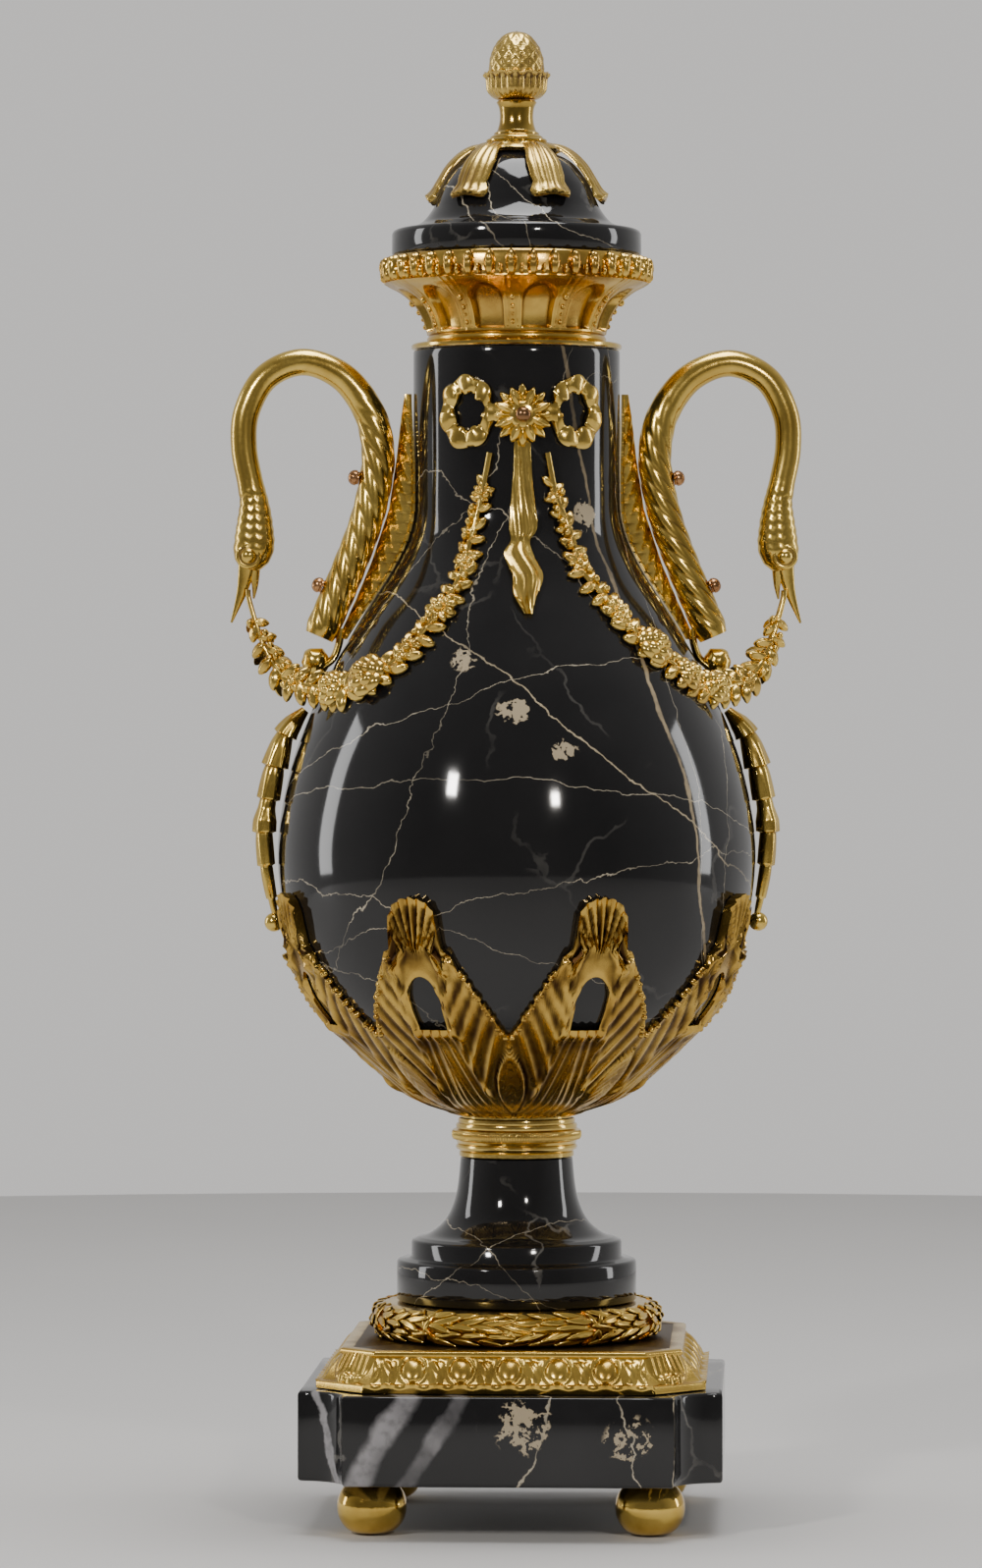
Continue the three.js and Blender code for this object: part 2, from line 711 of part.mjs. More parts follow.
function swagPath(side) {
  const sign = side === 'right' ? 1 : -1;
  const resting = swagOnBody[side].map(([degrees, z]) => onBody(sign * degrees, z, SWAG.lift));
  const free = swagToBill.map((p) => v3(sign * p.x, p.y, p.z));
  return new THREE.CatmullRomCurve3([...resting, ...free], false, 'centripetal');
}

// Width and height of a half at each station: narrow stem, swelling to each flower.
function swagStations(flowers, length) {
  const stations = [[0, 0.9, 1.4]];
  for (const [along, radius] of flowers) {
    const reach = (0.7 * radius) / length;
    stations.push([along - 1.2 * reach, SWAG.stem, 1.8]);
    stations.push([along - 0.9 * reach, 0.9 * radius, 0.6 * radius]);
    stations.push([along + 0.8 * reach, 0.9 * radius, 0.75 * radius]);
  }
  stations.push([0.84, SWAG.stem, 1.8], [0.88, 1.9, 2.6], [0.93, 1.2, 2], [1, 1, 1.8]);
  return stations;
}

// Half a swag, its flat back towards the marble.
function garland(side, smallest) {
  const path = swagPath(side);
  const flowers = swagFlowers[side].filter(([, radius]) => radius >= smallest);
  const rings = swagStations(flowers, path.getLength()).map(([along, half, high]) => {
    const at = path.getPointAt(along);
    const tangent = path.getTangentAt(along);
    const degrees = THREE.MathUtils.radToDeg(Math.atan2(at.x, -at.y));
    const away = bodyNormal(degrees, at.z).lerp(v3(0, -1, 0), along > 0.8 ? 0.9 : 0);
    const out = away.addScaledVector(tangent, -away.dot(tangent)).normalize();
    const across = tangent.clone().cross(out);
    const shoulder = [0.72 * half, 0.8 * high];
    const section = [[-half, 0], [half, 0], shoulder, [0, high], [-shoulder[0], shoulder[1]]];
    return section.map(([a, b]) => at.clone().addScaledVector(across, a).addScaledVector(out, b));
  });
  return cast(rings);
}

// A bow is drawn flat, as (across, up), and bent round the neck.
function onNeck(across, up, lift) {
  const z = BOW.height + up;
  const radius = bodyRadius(z) + lift;
  return polar(radius, THREE.MathUtils.radToDeg(across / (BODY.neckRadius + 3)), z);
}

// One loop of ribbon: a crimped ring, wide in the face and thin in depth.
function bowLoop(sign, stations) {
  const { loopReach, loopWide, loopHigh } = BOW;
  const rings = [];
  for (let i = 0; i < stations; i++) {
    const angle = (TAU * i) / stations;
    const crimp = i % 2 ? 0.5 : -0.3;
    const band = 2.7 + 0.5 * crimp;
    const point = (outward, lift) => onNeck(
      sign * (loopReach + (loopWide - 2.6 + outward) * Math.cos(angle)),
      1.6 + (loopHigh - 2.6 + outward) * Math.sin(angle),
      lift,
    );
    const [face, front] = [band - 0.6, 2.8 + crimp];
    rings.push([point(-band, 0.6), point(band, 0.6), point(face, front), point(-face, front)]);
  }
  return cast(rings, { closed: true });
}

// A length of ribbon lying down the front of the marble.
// A station is (height, half width, shift, thickness).
function bowTail(stations) {
  return cast(stations.map(([z, half, shift, thick]) => {
    const back = bodyRadius(z) + 2 * GAP;
    const edge = (x, lift) => v3(x, -Math.sqrt((back + lift) ** 2 - x * x), z);
    return [
      edge(shift - half, 0), edge(shift - half, thick), edge(shift, thick + 0.9),
      edge(shift + half, thick), edge(shift + half, 0),
    ];
  }));
}

function bow(petals, stations) {
  const { rosette, height } = BOW;
  const front = bodyRadius(height) + 2 * GAP;
  const sides = 2 * petals;
  const ring = (radius, notch, lift) => Array.from({ length: sides }, (_, i) => {
    const reach = radius - (i % 2 ? notch : 0);
    const angle = (TAU * i) / sides;
    return v3(reach * Math.sin(angle), -front - lift, height + reach * Math.cos(angle));
  });
  const flower = cast([ring(rosette - 3, 3, 0), ring(rosette, 4.4, 2.4), ring(5, 0, 4)]);
  const hub = toSolid(new THREE.BoxGeometry(27, 2.4, 7).translate(0, -front - 1.25, height + 1));
  const tail = bowTail([
    [404, 3, 0, 1], [390, 3.6, 0, 1.6], [371.9, 5.2, 0.2, 2.6], [366, 3.6, -1, 2.4],
    [361, 5.4, -1.8, 3.8], [353, 5.8, 1.2, 4.6], [345.6, 4.6, 0.2, 4.2], [338.2, 1.6, 1.2, 1.6],
  ]);
  return joined([flower, bowLoop(-1, stations), bowLoop(1, stations), hub, tail]);
}

function bowPin() {
  const pin = new THREE.LatheGeometry([v2(0, 0), v2(2.9, 0), v2(2.9, 1.6), v2(2, 3), v2(0, 3.7)], 8);
  pin.rotateX(Math.PI);
  return toSolid(pin.translate(0, -bodyRadius(BOW.height) - 4 - 3 * GAP, BOW.height));
}

// ---- Assembly -----------------------------------------------------------------------------------

const urn = new THREE.Group();
const mounts = new THREE.Group();
mounts.rotation.z = radians(BODY_TURN);
urn.add(mounts);

function add(group, name, solid, material, degrees = 0) {
  const mesh = new THREE.Mesh(toGeometry(solid), material);
  mesh.name = name;
  mesh.rotation.z = radians(degrees);
  group.add(mesh);
  return mesh;
}

for (const [name, x, y] of [
  ['foot_front_left', -1, -1],
  ['foot_front_right', 1, -1],
  ['foot_back_left', -1, 1],
  ['foot_back_right', 1, 1],
]) add(urn, name, bunFoot(), gilt()).position.set(x * FOOT.offset, y * FOOT.offset, 0);

add(urn, 'base_slab', baseSlab(), marble());
add(urn, 'plinth_mount', plinthMount(), gilt());
add(urn, 'laurel_ring', laurelRing(), gilt());
add(urn, 'marble_foot', marbleFoot(), marble());
add(urn, 'knurled_collar', knurledCollar(), gilt());
add(urn, 'leaf_cup', leafCup(), gilt());
add(urn, 'marble_body', marbleBody(), marble());
add(urn, 'neck_ring', neckRing(), gilt());
add(urn, 'fluted_gallery', flutedGallery(), gilt());
add(urn, 'marble_lid', marbleLid(), marble());
add(urn, 'lid_leaf_mount', lidLeafMount(), gilt());
add(urn, 'finial_stem', finialStem(), gilt());
add(urn, 'finial_bud', finialBud(), gilt());

// The left-hand handle is the right-hand one turned half round, and so are the pieces at the back.
const handle = { swan: swanHandle(), feather: featherMount(), drop: sideDrop() };
const nuts = { upper: domedNut(NUT.upper), lower: domedNut(NUT.lower) };
for (const [side, degrees] of [['right', 0], ['left', 180]]) {
  add(mounts, `swan_${side}`, handle.swan, gilt(), degrees);
  add(mounts, `feather_${side}`, handle.feather, gilt(), degrees);
  add(mounts, `screw_${side}_upper`, nuts.upper, copper(), degrees);
  add(mounts, `screw_${side}_lower`, nuts.lower, copper(), degrees);
  add(mounts, `drop_${side}`, handle.drop, gilt(), degrees);
}

// The swags and the bow at the back are plainer: fewer flowers, fewer petals.
add(mounts, 'garland_front_left', garland('left', SWAG.smallestFront), gilt());
add(mounts, 'garland_front_right', garland('right', SWAG.smallestFront), gilt());
add(mounts, 'garland_back_right', garland('left', SWAG.smallestBack), gilt(), 180);
add(mounts, 'garland_back_left', garland('right', SWAG.smallestBack), gilt(), 180);
add(mounts, 'bow_front', bow(BOW.petals, BOW.crimps), gilt());
add(mounts, 'bow_back', bow(BOW.petals / 2, BOW.crimps - 4), gilt(), 180);
add(mounts, 'pin_front', bowPin(), copper());
add(mounts, 'pin_back', bowPin(), copper(), 180);

export default urn;
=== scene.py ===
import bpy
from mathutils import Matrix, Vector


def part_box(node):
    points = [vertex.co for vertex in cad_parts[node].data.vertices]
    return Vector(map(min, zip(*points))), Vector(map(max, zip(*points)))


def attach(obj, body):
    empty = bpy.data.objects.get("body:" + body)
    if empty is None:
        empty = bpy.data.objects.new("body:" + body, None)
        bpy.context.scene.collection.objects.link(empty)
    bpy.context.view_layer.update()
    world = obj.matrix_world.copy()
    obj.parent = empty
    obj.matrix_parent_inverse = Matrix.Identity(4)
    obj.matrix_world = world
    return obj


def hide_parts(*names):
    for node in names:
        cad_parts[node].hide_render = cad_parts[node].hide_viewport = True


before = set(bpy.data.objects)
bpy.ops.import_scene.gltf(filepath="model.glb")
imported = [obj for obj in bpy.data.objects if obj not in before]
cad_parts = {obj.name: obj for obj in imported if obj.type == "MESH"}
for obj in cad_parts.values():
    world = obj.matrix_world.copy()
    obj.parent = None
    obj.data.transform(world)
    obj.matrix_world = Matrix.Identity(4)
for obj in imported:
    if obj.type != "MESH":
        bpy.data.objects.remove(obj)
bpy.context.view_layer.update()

# ---- Bun feet ------------------------------------------------------------------------------------
# Four flattened balls of bronze, turned, fire-gilt and burnished bright. Each is held up into a corner
# of the slab by a stud. Painted shade darkens the gilding in its hollows.
import math

import bmesh
import bpy
import numpy as np
from mathutils import Vector

MM = 0.001
TAU = 2 * math.pi


class Value:
    """A socket of a material's tree that takes part in sums."""

    def __init__(self, finish, socket):
        self.finish, self.socket = finish, socket

    def sum(self, operation, *others):
        node = self.finish.node("ShaderNodeMath", {"operation": operation}, *(self, *others))
        return node[0]

    def flipped(self, operation, other):
        return self.finish.node("ShaderNodeMath", {"operation": operation}, other, self)[0]

    def __add__(self, other): return self.sum("ADD", other)
    def __radd__(self, other): return self.sum("ADD", other)
    def __sub__(self, other): return self.sum("SUBTRACT", other)
    def __rsub__(self, other): return self.flipped("SUBTRACT", other)
    def __mul__(self, other): return self.sum("MULTIPLY", other)
    def __rmul__(self, other): return self.sum("MULTIPLY", other)
    def __truediv__(self, other): return self.sum("DIVIDE", other)
    def __abs__(self): return self.sum("ABSOLUTE")
    def __pow__(self, other): return self.sum("POWER", other)


class Outputs:
    """The outputs of one node, by number or name."""

    def __init__(self, finish, node):
        self.finish, self.node = finish, node

    def __getitem__(self, key):
        return Value(self.finish, self.node.outputs[key])


class Finish:
    """A procedural material on one Principled shader."""

    def __init__(self, name, **constants):
        self.material = bpy.data.materials.new(name)
        self.material.use_nodes = True
        self.tree = self.material.node_tree
        self.shader = self.tree.nodes["Principled BSDF"]
        for socket, value in constants.items():
            self.shader.inputs[socket.replace("_", " ")].default_value = value
        self.place = self.node("ShaderNodeTexCoord", {})["Object"]

    def fill(self, socket, value):
        if isinstance(value, Value):
            self.tree.links.new(value.socket, socket)
        elif socket.type == "RGBA" and len(value) == 3:
            socket.default_value = (*value, 1)
        else:
            socket.default_value = value

    def node(self, kind, settings, *values, **named):
        made = self.tree.nodes.new(kind)
        stops = settings.pop("stops", None)
        for key, value in settings.items():
            setattr(made, key, value)
        if stops:
            ramp = made.color_ramp.elements
            while len(ramp) < len(stops):
                ramp.new(1)
            for element, (position, colour) in zip(ramp, stops):
                element.position, element.color = position, (*colour, 1)
        for socket, value in zip(made.inputs, values):
            self.fill(socket, value)
        for key, value in named.items():
            self.fill(made.inputs[key.replace("_", " ")], value)
        return Outputs(self, made)

    def feed(self, socket, value):
        self.fill(self.shader.inputs[socket], value)

    def ease(self, value, low, high):
        """0 below low, 1 above high, smooth between."""
        settings = {"interpolation_type": "SMOOTHSTEP"}
        return self.node("ShaderNodeMapRange", settings, value, low, high)[0]

    def blend(self, share, under, over):
        """Two colours, by share."""
        mixed = self.node("ShaderNodeMix", {"data_type": "RGBA"})
        self.fill(mixed.node.inputs["Factor"], share)
        self.fill(mixed.node.inputs[6], under)
        self.fill(mixed.node.inputs[7], over)
        return Value(self, mixed.node.outputs[2])

    def cloud(self, scale, detail=4, rough=0.55, place=None):
        """Soft noise from 0 to 1; scale is the number of clouds in a metre."""
        place = place or self.place
        return self.node("ShaderNodeTexNoise", {}, Vector=place, Scale=scale, Detail=detail, Roughness=rough)["Fac"]

    def emboss(self, height, strength, distance):
        """Feeds a bump from a height."""
        bump = self.node("ShaderNodeBump", {}, Strength=strength, Distance=distance, Height=height)
        self.feed("Normal", bump["Normal"])


def gilding(name, bright, deep, shade_and_tarnish_colour, rough=(0.2, 0.42), hollow_shade=1.0, verdigris=0.0):
    """Fire gilding, mottled all over: bright on what stands up, painted shade turns it brown and dull in the hollows,
    with random tarnish.
    """
    gilt = Finish(name, Metallic=1.0, IOR=1.5)
    hollow = gilt.node("ShaderNodeAttribute", {"attribute_name": "hollow"})["Fac"]
    mottle = gilt.cloud(60, 6)
    specks = gilt.cloud(900, 3)
    # Painted shade: the hollows are darkened and dulled towards the shade colour; the mottle adds random tarnish.
    shade_and_tarnish = gilt.ease(hollow * hollow_shade + (mottle - 0.5) * 0.5, 0.42, 0.95)
    warm = gilt.blend(gilt.ease(mottle, 0.35, 0.7), bright, deep)
    shaded_colour = gilt.blend(shade_and_tarnish, warm, shade_and_tarnish_colour)
    if verdigris:
        green = gilt.ease(gilt.cloud(140, 5), 0.62, 0.75) * gilt.ease(hollow, 0.55, 0.9) * verdigris
        shaded_colour = gilt.blend(green, shaded_colour, (0.12, 0.2, 0.13))
    gilt.feed("Base Color", shaded_colour)
    gilt.feed("Roughness", rough[0] + shade_and_tarnish * (rough[1] - rough[0]) + (specks - 0.5) * 0.12)
    gilt.emboss(specks * 0.6 + mottle * 0.4, 0.12, 0.0004)
    return gilt.material


def loft(rings, join=False):
    """Faces for closed rings of points, capped at both ends, or joined last to first."""
    rings = np.asarray(rings, float)
    count, across = rings.shape[:2]
    points = rings.reshape(-1, 3)
    row = np.arange(count if join else count - 1)
    a = (row[:, None] * across + np.arange(across)).ravel()
    b = (row[:, None] * across + (np.arange(across) + 1) % across).ravel()
    above = (((row + 1) % count)[:, None] * across)
    d = (above + np.arange(across)).ravel()
    c = (above + (np.arange(across) + 1) % across).ravel()
    faces = [tuple(f) for f in np.stack([a, b, c, d], 1).tolist()]
    if not join:
        start, end = len(points), (count - 1) * across
        points = np.vstack([points, rings[0].mean(0), rings[-1].mean(0)])
        for j in range(across):
            following = (j + 1) % across
            faces.append((start, following, j))
            faces.append((start + 1, end + j, end + following))
    return points, faces


def gathered(*shapes):
    """Several (points, faces) as one."""
    points, faces, base = [], [], 0
    for some, sides in shapes:
        points.append(some)
        faces.extend(tuple(i + base for i in side) for side in sides)
        base += len(some)
    return np.vstack(points), faces


def polar(radius, degrees, z):
    """A point at an angle from the front, -Y, turning towards +X."""
    angle = np.radians(degrees)
    return np.stack(np.broadcast_arrays(radius * np.sin(angle), -radius * np.cos(angle), z), -1)


def curve(points, steps):
    """A smooth line through the points, with that many steps between neighbours."""
    points = np.asarray(points, float)
    padded = np.vstack([points[0], points, points[-1]])
    t = (np.arange(steps) / steps)[:, None]
    spans = []
    for a, b, c, d in zip(padded, padded[1:], padded[2:], padded[3:]):
        v0, v1 = (c - a) / 2, (d - b) / 2
        spans.append((2 * b - 2 * c + v0 + v1) * t**3 + (-3 * b + 3 * c - 2 * v0 - v1) * t**2 + v0 * t + b)
    return np.vstack([*spans, points[-1]])


def turned(profile, sides=96):
    """Turned work from (radius, height) pairs, with its poles closed."""
    profile = [(max(r, 0.02), z) for r, z in profile]
    degrees = np.arange(sides) * 360 / sides
    return loft([polar(r, degrees, z) for r, z in profile])


def mark_hollows(mesh, reach=3, strength=1.0):
    """Stores how far each point lies in a hollow, from 0 on a crest to 1 in a groove."""
    count = len(mesh.vertices)
    edges = np.empty(len(mesh.edges) * 2, int)
    mesh.edges.foreach_get("vertices", edges)
    a, b = edges.reshape(-1, 2).T
    places, normals = np.empty(count * 3), np.empty(count * 3)
    mesh.vertices.foreach_get("co", places)
    mesh.vertices.foreach_get("normal", normals)
    places, normals = places.reshape(-1, 3), normals.reshape(-1, 3)
    near = np.maximum(np.bincount(a, minlength=count) + np.bincount(b, minlength=count), 1)

    def spread(values):
        out = np.stack([np.bincount(a, values[b, k], count) + np.bincount(b, values[a, k], count)
                        for k in range(values.shape[1])], 1)
        return out / near[:, None]

    wide = places
    for _ in range(reach):
        wide = (wide + spread(wide)) / 2
    depth = ((wide - places) * normals).sum(1)[:, None]
    for _ in range(reach - 1):
        depth = (depth + spread(depth)) / 2
    scale = np.percentile(np.abs(depth), 92) + 1e-9
    hollow = np.clip(0.5 + 0.5 * strength * depth[:, 0] / scale, 0, 1)
    mesh.attributes.new("hollow", "FLOAT", "POINT").data.foreach_set("value", hollow.astype(np.float32))


def piece(name, shape, finish, slot, *stands_for, crease=40, reach=3, outward=True):
    """A finished piece of the urn from (points, faces) in millimetres, or from a mesh in metres."""
    if isinstance(shape, bpy.types.Mesh):
        mesh = shape
    else:
        mesh = bpy.data.meshes.new(name)
        mesh.from_pydata((shape[0] * MM).tolist(), [], shape[1])
    mesh.name = name
    if outward:
        build = bmesh.new()
        build.from_mesh(mesh)
        bmesh.ops.remove_doubles(build, verts=build.verts, dist=2e-6)
        bmesh.ops.recalc_face_normals(build, faces=build.faces)
        build.to_mesh(mesh)
        build.free()
    mesh.shade_smooth()
    mesh.set_sharp_from_angle(angle=math.radians(crease))
    mark_hollows(mesh, reach)
    mesh.materials.clear()
    mesh.materials.append(finish)
    made = bpy.data.objects.new(name, mesh)
    bpy.context.scene.collection.objects.link(made)
    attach(made, "root")
    if stands_for:
        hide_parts(*stands_for)
    return made


def span(node):
    """Lowest and highest corner of a CAD node, in millimetres."""
    return [np.array(corner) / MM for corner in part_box(node)]


burnished = gilding("burnished gilding", (0.78, 0.54, 0.13), (0.55, 0.35, 0.07), (0.1, 0.06, 0.02), (0.1, 0.3))
foot_flat = 5.0
for corner in ("front_left", "front_right", "back_left", "back_right"):
    low, high = span(f"foot_{corner}")
    centre = np.array([math.copysign(51.3, low[0] + high[0]), math.copysign(51.3, low[1] + high[1]), 0])
    height = high[2] - low[2]
    bulge = 12.9 - foot_flat
    arc = np.linspace(-math.pi / 2, math.pi / 2, 25)
    side = [(foot_flat + bulge * math.cos(t), height / 2 * (1 + math.sin(t))) for t in arc]
    points, faces = turned([(0, 0), (foot_flat * 0.6, 0), *side, (foot_flat * 0.6, height), (0, height)], 64)
    piece(f"bun_foot_{corner}", (points + centre, faces), burnished, "gilt", f"foot_{corner}")


# ---- Base slab -----------------------------------------------------------------------------------
# A square block of black marble with hollowed corners, sawn, eased along its arrises and polished.
# Two broad grey-white bands cross its front, beside lacy cream patches.

def veined(name, seams, scale=1.0, lace=(), haze=0.5, crackle=0.25):
    """Polished black marble. A seam is (colour, a point on it, its normal, half width, wander); lengths in mm.
    A lace patch is (centre, reach)."""
    stone = Finish(name, Metallic=0.0, IOR=1.52, Coat_Roughness=0.03)
    shift = stone.node("ShaderNodeTexNoise", {"noise_dimensions": "3D"}, Vector=stone.place, Scale=26 * scale, Detail=8)
    fine = stone.node("ShaderNodeTexNoise", {}, Vector=stone.place, Scale=160 * scale, Detail=6, Roughness=0.6)
    jog = stone.node("ShaderNodeVectorMath", {"operation": "SUBTRACT"}, shift["Color"], (0.5, 0.5, 0.5))
    tremble = stone.node("ShaderNodeVectorMath", {"operation": "SUBTRACT"}, fine["Color"], (0.5, 0.5, 0.5))
    black = stone.blend(stone.cloud(30 * scale, 5), (0.004, 0.004, 0.0045), (0.014, 0.0135, 0.014))
    colour = stone.blend(stone.ease(stone.cloud(9 * scale, 6), 0.55, 0.8) * haze, black, (0.03, 0.029, 0.03))
    cracks = stone.node(
        "ShaderNodeTexVoronoi", {"feature": "DISTANCE_TO_EDGE"},
        Vector=stone.node("ShaderNodeVectorMath", {"operation": "MULTIPLY_ADD"}, jog[0], (0.05, 0.05, 0.05),
                          stone.place)[0],
        Scale=13 * scale)["Distance"]
    fade = stone.ease(stone.cloud(26 * scale, 3), 0.47, 0.62)
    colour = stone.blend((1 - stone.ease(cracks, 0.004, 0.014)) * fade * crackle, colour, (0.42, 0.4, 0.36))
    for tint, point, normal, half, wander in seams:
        wavy = stone.node("ShaderNodeVectorMath", {"operation": "MULTIPLY_ADD"}, jog[0],
                          (wander * MM, wander * MM, wander * MM), stone.place)
        shaken = stone.node("ShaderNodeVectorMath", {"operation": "MULTIPLY_ADD"}, tremble[0],
                            (wander * MM * 0.22,) * 3, wavy[0])
        unit = Vector(normal).normalized()
        away = stone.node("ShaderNodeVectorMath", {"operation": "DOT_PRODUCT"}, shaken[0], tuple(unit))["Value"]
        away = abs(away - Vector(point).dot(unit) * MM)
        width = (half * 0.55 * MM) * (0.2 + stone.cloud(45 * scale, 4) * 1.5)
        broken = stone.ease(stone.cloud(24 * scale, 3), 0.36, 0.6) * 0.75 + 0.25
        share = (1 - stone.ease(away / width, 0.5, 1.15)) * broken
        grain = stone.ease(stone.cloud(330, 5), 0.25, 0.6) * 0.35 + 0.65
        colour = stone.blend(share * grain, colour, tint)
    for centre, reach in lace:
        offset = stone.node("ShaderNodeVectorMath", {"operation": "DISTANCE"}, stone.place,
                            tuple(c * MM for c in centre))["Value"]
        patch = 1 - stone.ease(offset / (reach * MM), 0.35, 1.0)
        cells = stone.node(
            "ShaderNodeTexVoronoi", {"feature": "DISTANCE_TO_EDGE"},
            Vector=stone.node("ShaderNodeVectorMath", {"operation": "MULTIPLY_ADD"}, tremble[0],
                              (0.012, 0.012, 0.012), stone.place)[0],
            Scale=110)["Distance"]
        net = (1 - stone.ease(cells, 0.02, 0.12)) * stone.ease(stone.cloud(90, 4), 0.42, 0.56)
        flake = stone.cloud(70, 8, 0.7) * 0.75 + stone.cloud(400, 3) * 0.25
        solid = stone.ease(flake * patch, 0.49, 0.52)
        colour = stone.blend(stone.ease(patch * net + solid, 0.35, 0.7), colour, (0.4, 0.33, 0.22))
    stone.feed("Base Color", colour)
    stone.feed("Roughness", 0.045 + stone.cloud(70, 5) * 0.05)
    stone.emboss(stone.cloud(20, 3), 0.02, 0.0005)
    return stone.material


cream, grey = (0.5, 0.44, 0.33), (0.3, 0.29, 0.3)
slab_stone = veined(
    "slab marble",
    [
        (grey, (-46, -78, 36), (0.86, 0.25, -0.5), 8.4, 7),
        (grey, (-28, -78, 36), (0.86, 0.3, -0.5), 6.8, 9),
        (cream, (10, -78, 36), (1, 0.5, -0.35), 0.9, 26),
        (cream, (43, -78, 36), (1, -0.4, 0.3), 0.8, 24),
        (cream, (61, -78, 36), (1, 0.2, 0), 0.5, 10),
        (grey, (20, 70, 30), (0.8, -0.5, 0.3), 3.5, 16),
    ],
    lace=[((6, -76, 42), 17), ((45, -76, 36), 16), ((40, 72, 40), 18)])

low, high = span("base_slab")
half, arris = high[0], 1.5
corner_hollow = 17.5


def slab_outline(inset, z):
    """A square with hollowed corners, drawn round from the front."""
    reach, straight = half - inset, half - corner_hollow
    hollow = corner_hollow + inset
    start = math.asin(inset / hollow)
    bend = np.linspace(start, math.pi / 2 - start, 13)
    side = [(x, -reach) for x in np.linspace(-straight + inset, straight - inset, 9)[1:-1]]
    quarter = side + [(half - hollow * math.cos(t), -half + hollow * math.sin(t)) for t in bend]
    ring = []
    for turn in range(4):
        c, s = round(math.cos(turn * math.pi / 2)), round(math.sin(turn * math.pi / 2))
        ring.extend((x * c - y * s, x * s + y * c, z) for x, y in quarter)
    return ring


edge = [(arris * (1 - math.sin(t)), arris * (1 - math.cos(t))) for t in np.linspace(0, math.pi / 2, 5)]
rings = [slab_outline(inset, low[2] + drop) for inset, drop in edge]
rings += [slab_outline(inset, high[2] - drop) for inset, drop in reversed(edge)]
piece("marble_slab", loft(rings), slab_stone, "marble", "base_slab", crease=50)

# ---- Plinth mount --------------------------------------------------------------------------------
# A cast gilt-bronze tray with sloping sides: a plain fillet with a scalloped lip, a band of bright eggs
# and hatched leaves, an acanthus leaf over each cut corner, and a flat top burnished like a mirror.

relief_gilding = gilding(
    "chased gilding", (0.82, 0.56, 0.13), (0.62, 0.39, 0.08), (0.1, 0.06, 0.022), (0.2, 0.45), verdigris=0.35)
low, high = span("plinth_mount")
fillet = {"half": 71.8, "cut": 18.4, "top": 57.2}
band_top = {"half": 62.6, "cut": 13.2, "z": 65.8}
egg_period = 17.67
per_side, per_corner = 210, 56


def plinth_ring(half_width, cut, z, raised):
    """One level of the tray; raised(side length, along, on the corner) pushes it out of the slope."""
    straight = half_width - cut
    along = np.linspace(-straight, straight, per_side, endpoint=False)
    out = raised(along, False)
    front = np.stack([along, -half_width - out * 0.75, z + out * 0.65], -1)
    share = np.linspace(0, 1, per_corner, endpoint=False)
    swell = raised((share - 0.5) * cut * math.sqrt(2), True)
    x = straight + cut * share + swell * 0.55
    y = -half_width + cut * share - swell * 0.55
    corner = np.stack([x, y, z + swell * 0.6], -1)
    quarter = np.vstack([front, corner])
    ring = []
    for turn in range(4):
        c, s = round(math.cos(turn * math.pi / 2)), round(math.sin(turn * math.pi / 2))
        ring.append(np.stack([quarter[:, 0] * c - quarter[:, 1] * s, quarter[:, 0] * s + quarter[:, 1] * c,
                              quarter[:, 2]], -1))
    return np.vstack(ring)


def egg_and_leaf(height):
    """The relief at a share of the band's height."""
    def raised(along, corner):
        ends = np.clip((np.abs(along).max() + 0.01 - np.abs(along)) / 1.5, 0, 1)
        if corner:
            half_leaf = 9.5 * math.sin(math.pi * min(0.5, 0.18 + 0.5 * height))
            body = np.clip(1 - (along / half_leaf) ** 2, 0, 1) ** 0.5
            ribs = 0.28 * np.cos(along * 2.3 + 2.5 * height * np.sign(along)) + 0.5 * np.exp(-(along / 0.8) ** 2)
            tip = math.exp(-((height - 0.12) / 0.12) ** 2)
            return body * (1.1 + ribs + 1.1 * tip) * ends
        from_egg = (along + egg_period / 2) % egg_period - egg_period / 2
        oval = 1 - (from_egg / 4.1) ** 2 - ((height - 0.52) / 0.44) ** 2
        egg = 2.0 * np.sqrt(np.clip(oval, 0, None))
        shell = 0.5 * np.exp(-((np.sqrt(np.clip(1 - oval, 0, None)) - 1.22) / 0.12) ** 2)
        from_leaf = np.abs(np.abs(from_egg) - egg_period / 2)
        blade = np.clip(1 - from_leaf / (2.1 + 1.6 * height), 0, 1)
        hatch = 0.22 * np.cos((along * 2.2 + height * 14)) * blade
        leaf = 1.25 * np.sqrt(blade) * math.sin(math.pi * min(1, 0.15 + height)) ** 0.5 + hatch
        return np.maximum(egg, np.maximum(shell, leaf)) * ends
    return raised


def scalloped(depth):
    """The waves of the lip over the fillet."""
    def raised(along, corner):
        if corner:
            return np.zeros_like(along)
        return depth * (0.5 + 0.5 * np.cos(along * TAU / (egg_period / 2)))
    return raised


flat = scalloped(0)
levels = [
    plinth_ring(fillet["half"] - 0.4, fillet["cut"], low[2], flat),
    plinth_ring(fillet["half"], fillet["cut"], low[2] + 0.3, flat),
    plinth_ring(fillet["half"], fillet["cut"], fillet["top"] - 1.6, flat),
    plinth_ring(fillet["half"] - 0.3, fillet["cut"], fillet["top"] - 1.0, scalloped(0.9)),
    plinth_ring(fillet["half"] - 1.4, fillet["cut"], fillet["top"] - 0.9, scalloped(0.8)),
]
for share in np.linspace(0, 1, 26):
    half_width = fillet["half"] - 2.2 + (band_top["half"] - fillet["half"] + 2.2) * share ** 0.9
    cut = fillet["cut"] + (band_top["cut"] - fillet["cut"]) * share
    z = fillet["top"] - 0.8 + (band_top["z"] - fillet["top"] + 0.8) * share
    levels.append(plinth_ring(half_width, cut, z, egg_and_leaf(share)))
